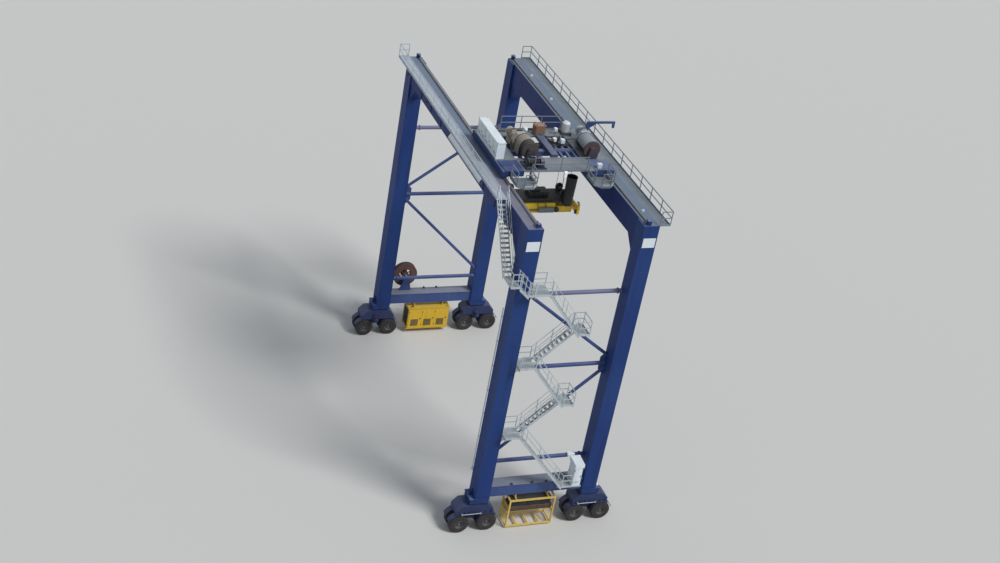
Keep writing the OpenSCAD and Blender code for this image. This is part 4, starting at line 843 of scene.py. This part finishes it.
def guard_outline(mid, side, inner, outer, foot_z):
    """The arch of a rope guard, seen along the drum, with a leg on its outer side."""
    arch = around(60)[:31]
    over, under = [[(mid.x + side * r * u, mid.z + r * v) for u, v in arch] for r in (outer, inner)]
    return [(mid.x + side * outer, foot_z)] + over + under[::-1] + [(mid.x + side * inner, foot_z)]


for tag, side, reach, foot_z in (("left_drum", -1, -0.1, beam_top), ("right_drum", 1, -0.6, deck_top)):
    low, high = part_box(tag)
    mid = (low + high) / 2
    sheet, stiffener = [guard_outline(mid, side, inner, outer, foot_z)
                        for inner, outer in ((guard_inner, guard_outer), (guard_outer, guard_band))]
    rope_guards.slab(sheet, "y", mid.y + reach, mid.y + 0.69)
    for y in (mid.y + reach, mid.y + 0.66):
        rope_guards.slab(stiffener, "y", y, y + 0.03)
    foot_x = mid.x + side * 0.64
    foot_y = mid.y + max(reach, 0.44)
    rope_guards.case((foot_x - 0.05, foot_y, foot_z), (foot_x + 0.05, mid.y + 0.69, foot_z + 0.012), 0.003)
piece("rope_guards", rope_guards, "trolley", guard_paint)

# Trim winch on the left of the front deck: a small rope drum with its gearbox and motor
# on a welded frame, and a switch box on the right corner box.
winch_paint = paint("winch_dark_paint", "2a2e44", "363a52", "5e6072", (0.4, 0.6, 0.5, 0.5))
winch, winch_bolts, winch_rope, switch_box = Parts(), Parts(), Parts(), Parts()
low, high = Vector((-2.45, -6.5, deck_top)), Vector((-0.9, -5.35, 25.7))
frame_top, frame_w = high.z, 0.12
winch.case(low, (high.x, low.y + frame_w, high.z), 0.006)
winch.case((low.x, high.y - frame_w, low.z), high, 0.006)
for x in (low.x, -1.74, high.x - frame_w):
    winch.case((x, low.y, low.z), (x + frame_w, high.y, high.z), 0.006)
winch_axle, gear_x, motor_at = Vector((-2.25, -6.15, 26.0)), -1.08, Vector((-1.35, -5.62, 25.92))
spool = [(0, 0.08), (0, 0.3), (0.03, 0.3), (0.03, 0.17), (0.72, 0.17), (0.72, 0.3), (0.75, 0.3), (0.75, 0.08)]
winch.turned(spool, winch_axle, x_way, 36)
winch_rope.coil(shift(winch_axle, 0.375), x_way, 0.185, 0.012, 0.026, 25)
stool = [(-6.4, frame_top), (-5.9, frame_top), (-6.05, 26.1), (-6.25, 26.1)]
for x in (winch_axle.x - 0.1, winch_axle.x + 0.8):
    winch.slab(stool, "x", x, x + 0.05)
gearbox = [(-6.42, frame_top), (-5.42, frame_top), (-5.42, 26.05), (-5.6, 26.2), (-6.25, 26.3), (-6.42, 26.15)]
winch.slab(gearbox, "x", motor_at.x, gear_x)
motor = [(0, 0.19), (0.04, 0.19), (0.05, 0.165), (0.62, 0.165), (0.63, 0.19), (0.7, 0.19), (0.74, 0.12)]
winch.turned(motor, motor_at, (-1, 0, 0), 28)
winch.fins(shift(motor_at, -0.08), shift(motor_at, -0.6), 0.16, 0.19, 26, 0.008)
winch.case((-1.85, -5.72, 26.08), (-1.55, -5.52, 26.2), 0.01)
winch_bolts.bolt_ring((gear_x, winch_axle.y, winch_axle.z), x_way, 0.12, 8, 0.02, 0.015)
for x in (-2.39, -1.68, -0.96):
    for y in (low.y + frame_w / 2, high.y - frame_w / 2):
        winch_bolts.bolt((x, y, frame_top), z_way, 0.026, 0.02)
switch_box.case((2.92, -6.5, deck_top), (3.24, -6.26, 25.95), 0.012)
switch_box.case((2.9, -6.52, 25.95), (3.26, -6.24, 25.97), 0.006)
switch_box.case((2.96, -6.515, 25.68), (3.2, -6.5, 25.91), 0.005)
piece("trim_winch", winch, "trolley", winch_paint)
piece("trim_winch_rope", winch_rope, "trolley", cable_black)
piece("trim_winch_bolts", winch_bolts, "trolley", machine_grey)
piece("corner_switch_box", switch_box, "trolley", white_paint)

# Toe boards and bar screens of zinc-coated strip and rod, bolted inside the rails of the
# two corner baskets that hang from the front of the deck.
toe_zinc = paint("toe_board_zinc", "a9b2b6", "b8c0c3", "b4b8b8", (0.3, 0.6, 0.3, 0.3), metal=0.2, soot="50544f")
deck_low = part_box("trolley_deck")[0]
floor_z, board_top, screen_top = deck_low.z + 0.04, deck_low.z + 0.28, deck_low.z + 0.56
basket_out, basket_in, basket_back, rail_gap, cut = 3.6, 2.1, -6.85, 0.03, 0.4
boards, screens = Parts(), Parts()


def board(parts, a, b, low_z, high_z, thick=0.012):
    """An upright strip between two places on a deck."""
    a, b = Vector(a + (0,)), Vector(b + (0,))
    off = Vector((-(b - a).y, (b - a).x, 0)).normalized() * thick / 2
    points = [shift(p + off * s, z=z) for z in (low_z, high_z) for p, s in ((a, -1), (b, -1), (b, 1), (a, 1))]
    parts.add(points, [[0, 3, 2, 1], [4, 5, 6, 7], [0, 1, 5, 4], [1, 2, 6, 5], [2, 3, 7, 6], [3, 0, 4, 7]])


for side in (-1, 1):
    out_x, in_x = basket_out - rail_gap, basket_in + rail_gap
    cut_y, front_y = deck_low.y + cut, deck_low.y + rail_gap
    edge = [(out_x, basket_back), (out_x, cut_y), (out_x - cut, front_y),
            (in_x + cut, front_y), (in_x, cut_y), (in_x, basket_back)]
    edge = [(side * x, y) for x, y in edge]
    for a, b in zip(edge, edge[1:]):
        board(boards, a, b, floor_z, board_top)
        count = max(2, int(math.dist(a, b) / 0.09))
        for k in range(count):
            x, y = [p + (q - p) * (k + 0.5) / count for p, q in zip(a, b)]
            screens.rod((x, y, board_top), (x, y, screen_top), 0.007, 6)
        board(screens, a, b, screen_top, screen_top + 0.04)
piece("basket_toe_boards", boards, "trolley", toe_zinc)
piece("basket_screens", screens, "trolley", galvanised)

# Between the drives: the brake resistor in its orange-brown louvred box, a white fan on a
# dark plinth, a slate-blue cable duct with bolted covers, and lamps and small boxes.
low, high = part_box("trolley_equipment")
box_paint = paint("trolley_box_paint", "4a4b4f", "5a5b5e", "8b8984", (0.35, 0.6, 0.35, 0.3))
resistor = {"X": (0.05, 1.0), "Y": (-1.5, -0.6)}
# The resistor box's top band has its own copy of the orange-brown, a touch darker than its sides, set for how its
# lit top looks: painted shade.
patched(box_paint, ("8f6a50", resistor), ("8a6650", {**resistor, "Z": (26.3, 26.5)}),
        ("3b4a6b", {"X": (0.05, 0.65), "Y": (-5.0, -1.55)}), ("dfe2e2", {"X": (2.2, 3.2), "Z": (25.835, 27.0)}))
dress(["trolley_equipment"], box_paint)
louvres, duct_lids, fan_wires, white_boxes, stands = Parts(), Parts(), Parts(), Parts(), Parts()
box_low, box_high = Vector((0.15, -1.4, 25.69)), Vector((0.9, -0.8, 26.33))
for j in range(10):
    z = box_low.z + 0.06 + j * 0.052
    for y in (box_low.y - 0.03, box_high.y):
        louvres.case((box_low.x + 0.06, y, z), (box_high.x - 0.06, y + 0.03, z + 0.024), 0.004)
    for x in (box_low.x - 0.03, box_high.x):
        louvres.case((x, box_low.y + 0.06, z), (x + 0.03, box_high.y - 0.06, z + 0.024), 0.004)
louvres.case((box_low.x - 0.04, box_low.y - 0.04, box_high.z), shift(box_high, 0.04, 0.04, 0.04), 0.008)
for x in (box_low.x + 0.08, box_high.x - 0.08):
    for y in (box_low.y + 0.08, box_high.y - 0.08):
        stands.hoop((x, y, box_high.z + 0.08), x_way, 0.03, 0.05, 0.012, 14)
duct_top, cover_top = 25.85, 25.868
for k in range(5):
    y = -4.78 + k * 0.645
    duct_lids.case((0.085, y, duct_top), (0.615, y + 0.625, cover_top), 0.004)
    for x in (0.12, 0.58):
        for dy in (0.08, 0.54):
            stands.bolt((x, y + dy, cover_top), z_way, 0.014, 0.012)
fan = Vector((2.6, -1.05, high.z))
fan_wires.fan_guard(fan, z_way, 0.012, [0.05, 0.1, 0.15, 0.185], 6, 32)
fan_wires.fins((fan.x, fan.y, 25.9), (fan.x, fan.y, 26.4), 0.275, 0.3, 28)
for x, y, size in ((1.1, -2.72, 0.26), (1.6, -2.98, 0.3), (1.78, -1.2, 0.24), (-0.6, -1.2, 0.3)):
    base = beam_top if y < -2.5 else deck_top
    white_boxes.post(x, y, size, size, base + 0.25, base + 0.25 + size, 0.015)
    for dx in (-0.06, 0.06):
        stands.post(x + dx, y, 0.03, 0.04, base, base + 0.26, 0.003)
mast_x, mast_y = -1.15, -2.52
stands.rod((mast_x, mast_y, beam_top), (mast_x, mast_y, 26.55), 0.03, 12)
dome = [(0, 0.05), (0.02, 0.11), (0.1, 0.15), (0.19, 0.14), (0.26, 0.07)]
white_boxes.turned(dome, (mast_x, mast_y, 26.52), z_way, 24)
for k, (x, y) in enumerate(((-0.95, -2.72), (0.85, -2.72), (1.3, -2.45))):
    stands.post(x, y, 0.36, 0.28, beam_top, 25.9 + 0.08 * k, 0.012)
piece("resistor_louvres", louvres, "trolley", box_paint)
piece("duct_covers", duct_lids, "trolley", box_paint)
piece("fan_guard", fan_wires, "trolley", white_paint)
piece("trolley_boxes", white_boxes, "trolley", white_paint)
piece("trolley_stands", stands, "trolley", dark_steel)

# Rubber-sheathed cables and painted steel pipes across the trolley: they leave the duct,
# cross the beams in clipped bundles and end at the drives.
lines, pipes = Parts(), Parts()
for k in range(7):
    y, z = -2.95 + 0.07 * k, 25.615
    lines.pipe([(-3.4, y, 25.62), (-1.2, y, z), (0.1, y, z)], 0.02, 6)
    lines.pipe([(0.6, y, z), (1.6, y, z), (2.34, y, z)], 0.02, 6)
for k in range(4):
    pipes.pipe([(x, -3.72 + 0.09 * k, 25.62) for x in (0.6, 1.5, 2.34)], 0.028, 8)
duct_end = Vector((0.35, -1.75, 25.87))
for x, y in ((-1.62, -2.3), (3.02, -2.4)):
    drop = [duct_end, shift(duct_end, z=0.03), (x * 0.5, (y + duct_end.y) / 2, 25.66),
            (x, y + 0.3, 25.7), (x, y, 26.0)]
    lines.pipe(drop, 0.03, 8)
for k in range(3):
    x, y = -3.05 + 0.1 * k, -0.6 - 0.12 * k
    pipes.pipe([(x, -1.5, 25.66), (x, -0.6, 25.66), (x, -0.1, 25.66)], 0.03, 8)
    lines.pipe([(-3.45, y, 25.75), (-3.2, y, 25.67), (-2.6, y, 25.66), (-0.2, y, 25.66)], 0.02, 6)
piece("trolley_cables", lines, "trolley", cable_black)
piece("trolley_pipes", pipes, "trolley", pale_blue)

# Hoist ropes: eight falls of six-strand wire rope under grease, from the trolley down to
# the headblock's sheaves.
rope_wire = paint("greased_rope", "2c2b2a", "3a3937", "4c4a46", (0.0, 0.6, 0.1, 0.3), metal=0.5)
rope_low, rope_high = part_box("hoist_ropes")
rope_r, rope_lay, strands, fall_x, fall_y, fall_off = 0.015, 0.2, 6, 1.9, 0.48, 0.2553
falls = Parts()


def wire_rope(parts, foot, top_z):
    """An upright rope of strands laid round each other."""
    rounds, points = 18, []
    rings = int((top_z - foot.z) / rope_lay * 10) + 1
    for z in spread(foot.z, top_z, rings + 1):
        for k in range(rounds):
            a = 2 * math.pi * (k / rounds + (z - foot.z) / rope_lay)
            r = rope_r * (1 - 0.14 * abs(math.cos(math.pi * strands * k / rounds)))
            points.append((foot.x + r * math.cos(a), foot.y + r * math.sin(a), z))
    parts.add(points, skin(rings + 1, rounds))


rope_mid = (rope_low + rope_high) / 2
for dx in (-fall_x - fall_off, -fall_x + fall_off, fall_x - fall_off, fall_x + fall_off):
    for dy in (-fall_y, fall_y):
        wire_rope(falls, Vector((rope_mid.x + dx, rope_mid.y + dy, rope_low.z)), rope_high.z)
falls_shown = piece("hoist_rope_falls", falls, None, rope_wire)
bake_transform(falls_shown)
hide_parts("hoist_ropes")

# Headblock and spreader: greased black steel over worn yellow paint. Sheaves run between
# cheeks, the spreader's own power unit and hose reels sit on its front beam.
dress(["headblock"], dark_steel)
spreader_yellow = paint("spreader_yellow", "f3ce26", "e4c03a", "c4ac58", (0.3, 0.6, 0.3, 0.6), 0.45, soot="3a301a")
dress(["spreader_frame", "left_spreader_end", "right_spreader_end"], spreader_yellow)
low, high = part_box("spreader_frame")
head_low, head_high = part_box("headblock")
load_x, centre_y = (low.x + high.x) / 2, (low.y + high.y) / 2
head_top, sheave_z = head_low.z + 0.3, head_low.z + 0.6
sheaves, head_bolts, unit, hose, control_box, ribs = Parts(), Parts(), Parts(), Parts(), Parts(), Parts()
groove = [(0.02, 0.2), (0.02, 0.245), (0.045, 0.285), (0.06, 0.285), (0.06, 0.2)]
for x in (load_x - fall_x, load_x + fall_x):
    for y in (centre_y - fall_y, centre_y + fall_y):
        for out in (-1, 1):
            cheek = y + out * 0.12
            sheaves.turned([(out * d, r) for d, r in groove], (x, y, sheave_z), y_way, 36)
            head_bolts.turned([(0, 0.07), (out * 0.03, 0.07), (out * 0.04, 0.05)], (x, cheek, sheave_z), y_way, 16)
            for dx in (-0.15, 0.15):
                head_bolts.bolt((x + dx, cheek, head_top + 0.09), (0, out, 0), 0.025, 0.02)
for x in (-1.9, -1.1, 1.1, 1.9):
    for y in (-0.65, 0.65):
        head_bolts.bolt((load_x + x, centre_y + y, head_top), z_way, 0.05, 0.04)
tub = Vector((load_x + 1.95, head_low.y + 0.38, 0))
tub_low, tub_high = head_low.z + 0.04, head_high.z
for share in (0.06, 0.35, 0.66, 0.985):
    r = 0.32 + 0.06 * share
    unit.hoop(shift(tub, z=tub_low + (tub_high - tub_low) * share), z_way, r - 0.005, r + 0.022, 0.03, 40)
for u, v in around(12):
    foot, brim = (0.325 * u, 0.325 * v, tub_low + 0.04), (0.383 * u, 0.383 * v, tub_high - 0.02)
    unit.rod(shift(tub, *foot), shift(tub, *brim), 0.012, 6)
unit.post(load_x, centre_y, 1.5, 0.9, head_top, head_top + 0.35, 0.02)
unit.post(load_x - 0.225, centre_y, 0.65, 0.6, head_top + 0.35, head_top + 0.5, 0.015)
for layer in range(9):
    turn_at = shift(tub, z=tub_low + 0.07 + 0.045 * layer)
    hose.coil(turn_at, z_way, 0.15 + 0.04 * (layer % 3), 0.02, 0.004, 1, 30)
front_y, beam_low, beam_high = low.y, low.z, low.z + 0.46
control_box.case((0.3, front_y - 0.16, beam_low + 0.03), (1.46, front_y, beam_high - 0.02), 0.015)
for k in range(3):
    x = 0.36 + 0.38 * k
    control_box.case((x, front_y - 0.175, beam_low + 0.07), (x + 0.32, front_y - 0.16, beam_high - 0.06), 0.006)
hose_reel = [(-0.14, 0.19), (-0.12, 0.19), (-0.12, 0.1), (-0.02, 0.1), (-0.02, 0.19), (0, 0.19)]
unit.turned(hose_reel, (1.66, front_y, beam_low + 0.23), y_way, 28)
for x in (-2.1, -1.3, -0.5, 2.1, 2.5, 2.85):
    ribs.case((x - 0.02, front_y - 0.03, beam_low + 0.02), (x + 0.02, front_y, beam_high - 0.02), 0.004)
ribs.case((load_x - 2.5, front_y - 0.05, beam_low), (load_x + 2.5, front_y, beam_low + 0.025), 0.004)
for k in range(3):
    hose.pipe([(x, front_y - 0.045, beam_low + 0.16 + 0.06 * k) for x in (-2.0, -1.0, 0.3)], 0.012, 6)
for x in (load_x - 0.3, load_x + 0.3):
    hose.pipe([(x, centre_y - 0.5, head_top + 0.23), (x, centre_y - 0.82, head_top + 0.13),
               (x + 0.1, front_y - 0.06, head_low.z + 0.1), (x + 0.2, front_y - 0.08, beam_high - 0.05)], 0.02, 8)
piece("sheave_rims", sheaves, "hoist_load", machine_grey)
piece("headblock_bolts", head_bolts, "hoist_load", machine_grey)
piece("headblock_fittings", unit, "hoist_load", dark_steel)
piece("spreader_hoses", hose, "hoist_load", cable_black)
piece("spreader_control_box", control_box, "hoist_load", machine_grey)
piece("spreader_ribs", ribs, "hoist_load", spreader_yellow)

# Spreader ends: a bent guide plate over each corner, a flange tube through it, and the
# lock's housing with its bolts on the end beam.
spreader_half_w, beam_h = 1.219, 0.52
guide_shape = [(0, 0.52), (0, 0.72), (0.16, 0.86), (0.34, 0.86), (0.34, 0.8), (0.2, 0.8), (0.1, 0.7), (0.1, 0.52)]
lock_pin = [(0, 0.07), (0.02, 0.07), (0.025, 0.045), (0.1, 0.045)]
for tag, side in (("left_spreader_end", -1), ("right_spreader_end", 1)):
    low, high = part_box(tag)
    base_z = high.z - beam_h
    end_x = high.x if side > 0 else low.x
    back_x = end_x - side * 0.2
    guides, locks = Parts(), Parts()
    for out in (-1, 1):
        edge_y = centre_y + out * spreader_half_w
        bent = [(edge_y - out * d, base_z + z) for d, z in guide_shape]
        guides.slab(bent, "x", end_x - side * 0.17, end_x - side * 0.03)
        tube_y, tube_z = edge_y - out * 0.14, base_z + 0.44
        guides.rod((back_x - side * 0.05, tube_y, tube_z), (end_x, tube_y, tube_z), 0.05, 14)
        locks.case((back_x - side * 0.12, edge_y - out * 0.2, base_z + 0.02),
                   (back_x, edge_y - out * 0.02, base_z + 0.3), 0.01)
        locks.turned(lock_pin, (end_x - side * 0.1, edge_y - out * 0.09, base_z + beam_h), z_way, 16)
        for dz in (0.1, 0.2, 0.3, 0.4):
            for dy in (0.08, 0.3):
                locks.bolt((end_x, edge_y - out * dy, base_z + dz), (side, 0, 0), 0.022, 0.018)
    piece(tag + "_guides", guides, tag, spreader_yellow)
    piece(tag + "_locks", locks, tag, dark_steel)

# Small fixtures, clipped or bolted on: rail clips, lamps on the right girder and under the
# left walkway, the white riser pipe on a leg, the trolley's floodlight, the tray's cables
# under their folded cover, lugs on the sills and a box on the low tie.
girder_top, rail_mid_x = 25.0, 3.95
clips, riser, heads, glass = Parts(), Parts(), Parts(), Parts()
girder_lamps, front_lamp, tray, cover = Parts(), Parts(), Parts(), Parts()
sill_lugs, tie_box = Parts(), Parts()
rail_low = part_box("trolley_rails")[0]
for side in (-1, 1):
    for k in range(44):
        y = rail_low.y + 0.25 + 0.6 * k
        for out in (-1, 1):
            x = side * rail_mid_x + out * 0.09
            clips.post(x, y, 0.07, 0.08, girder_top, girder_top + 0.022, 0.004)
            clips.bolt((x, y, girder_top + 0.022), z_way, 0.016, 0.014)
piece("rail_clips", clips, "portal", rail_steel)


def floodlight(at, aim, size, body):
    """A floodlight: a square housing on a short bracket, with its glass towards aim."""
    aim = Vector(aim).normalized()
    housing, pane = [(-0.55, 0.3), (-0.4, 0.55), (0, 0.75), (0.08, 0.75)], [(0.08, 0.62), (0.11, 0.6)]
    for parts, section in ((body, housing), (glass, pane)):
        parts.turned([(size * d, size * r) for d, r in section], at, aim, 4, start=45)
    body.rod(at, Vector(at) - aim * size * 0.8 + Vector((0, 0, size * 0.7)), size * 0.08, 8)


for y in (0.69, -4.3, 6.2, 11.0):
    floodlight((-5.3, y, 24.62), (0.35, 0, -1), 0.3, heads)
lamp_x = 4.31
for y in (10.0, 5.8, -11.4):
    girder_lamps.post(lamp_x, y, 0.24, 0.2, girder_top, girder_top + 0.04, 0.006)
    shade = [(0, 0.06), (0.02, 0.1), (0.1, 0.13), (0.13, 0.12)]
    girder_lamps.turned(shade, (lamp_x, y + 0.02, girder_top + 0.08), (0, -1, -0.12), 18)
piece("girder_lamps", girder_lamps, "portal", white_paint)
piece("walkway_floodlights", heads, "portal", dark_steel)
pipe_x, pipe_y = -4.8, -12.15
riser.rod((pipe_x, pipe_y, 4.9), (pipe_x, pipe_y, 18.3), 0.045, 12)
riser.turned([(0, 0.06), (0.04, 0.11), (0.14, 0.13), (0.24, 0.11), (0.28, 0.05)], (pipe_x, pipe_y, 4.66), z_way, 20)
for k in range(7):
    z = 5.6 + 2.0 * k
    riser.case((pipe_x - 0.05, pipe_y - 0.1, z), (-leg_out_x, pipe_y + 0.04, z + 0.05), 0.005)
riser.case((leg_out_x, -13.1, 3.05), (4.9, -12.9, 3.3), 0.02)
riser.turned([(0, 0.07), (0.1, 0.11), (0.22, 0.1), (0.26, 0.05)], (4.84, -13.1, 3.17), (0, -1, 0), 18)
piece("leg_riser_and_lamps", riser, "portal", white_paint)
front_lamp.case((0.25, -6.98, 25.2), (0.49, -6.84, 25.68), 0.02)
for k in range(4):
    front_lamp.case((0.27, -7.0, 25.26 + 0.1 * k), (0.47, -6.975, 25.33 + 0.1 * k), 0.006)
front_lamp.rod((0.37, -6.86, 25.62), (0.37, -6.79, 25.62), 0.025, 8)
lamp_white = paint("lamp_white", "f6f8fa", "eef2f4", "e2e6e8", (0.1, 0.5, 0.1, 0.0), 0.3, soot="b0b4b6")
piece("trolley_floodlight", front_lamp, "trolley", lamp_white)
piece("floodlight_glass", glass, "portal", galvanised)
for k in range(4):
    x = -5.515 - 0.032 * k
    tray.pipe([(x, -6.4, 24.65), (x, -3.0, 24.645), (x, 0.2, 24.65)], 0.014, 6)
piece("tray_cables", tray, "portal", cable_black)
for k in range(6):
    y = -6.48 + 1.13 * k
    cover.slab([(-5.65, 24.752), (-5.65, 24.765), (-5.5, 24.985), (-5.492, 24.97)], "y", y, y + 1.11)
piece("tray_cover", cover, "portal", white_paint)
sill_top = 3.85
for y in (-13.2, 13.2):
    for x in (-2.0, -0.42, 0.7):
        ear = [(x - 0.09, sill_top), (x + 0.09, sill_top), (x + 0.06, sill_top + 0.15), (x - 0.06, sill_top + 0.15)]
        sill_lugs.slab(ear, "y", y - 0.02, y + 0.02)
        sill_lugs.post(x, y, 0.24, 0.14, sill_top, sill_top + 0.015, 0.003)
piece("sill_lugs", sill_lugs, "portal", dark_steel)
tie_box.case((2.28, -12.66, 5.4), (2.83, -12.24, 5.72), 0.03)
tie_box.case((2.5, -12.51, 5.31), (2.61, -12.23, 5.42), 0.01)
piece("tie_box", tie_box, "portal", white_paint)
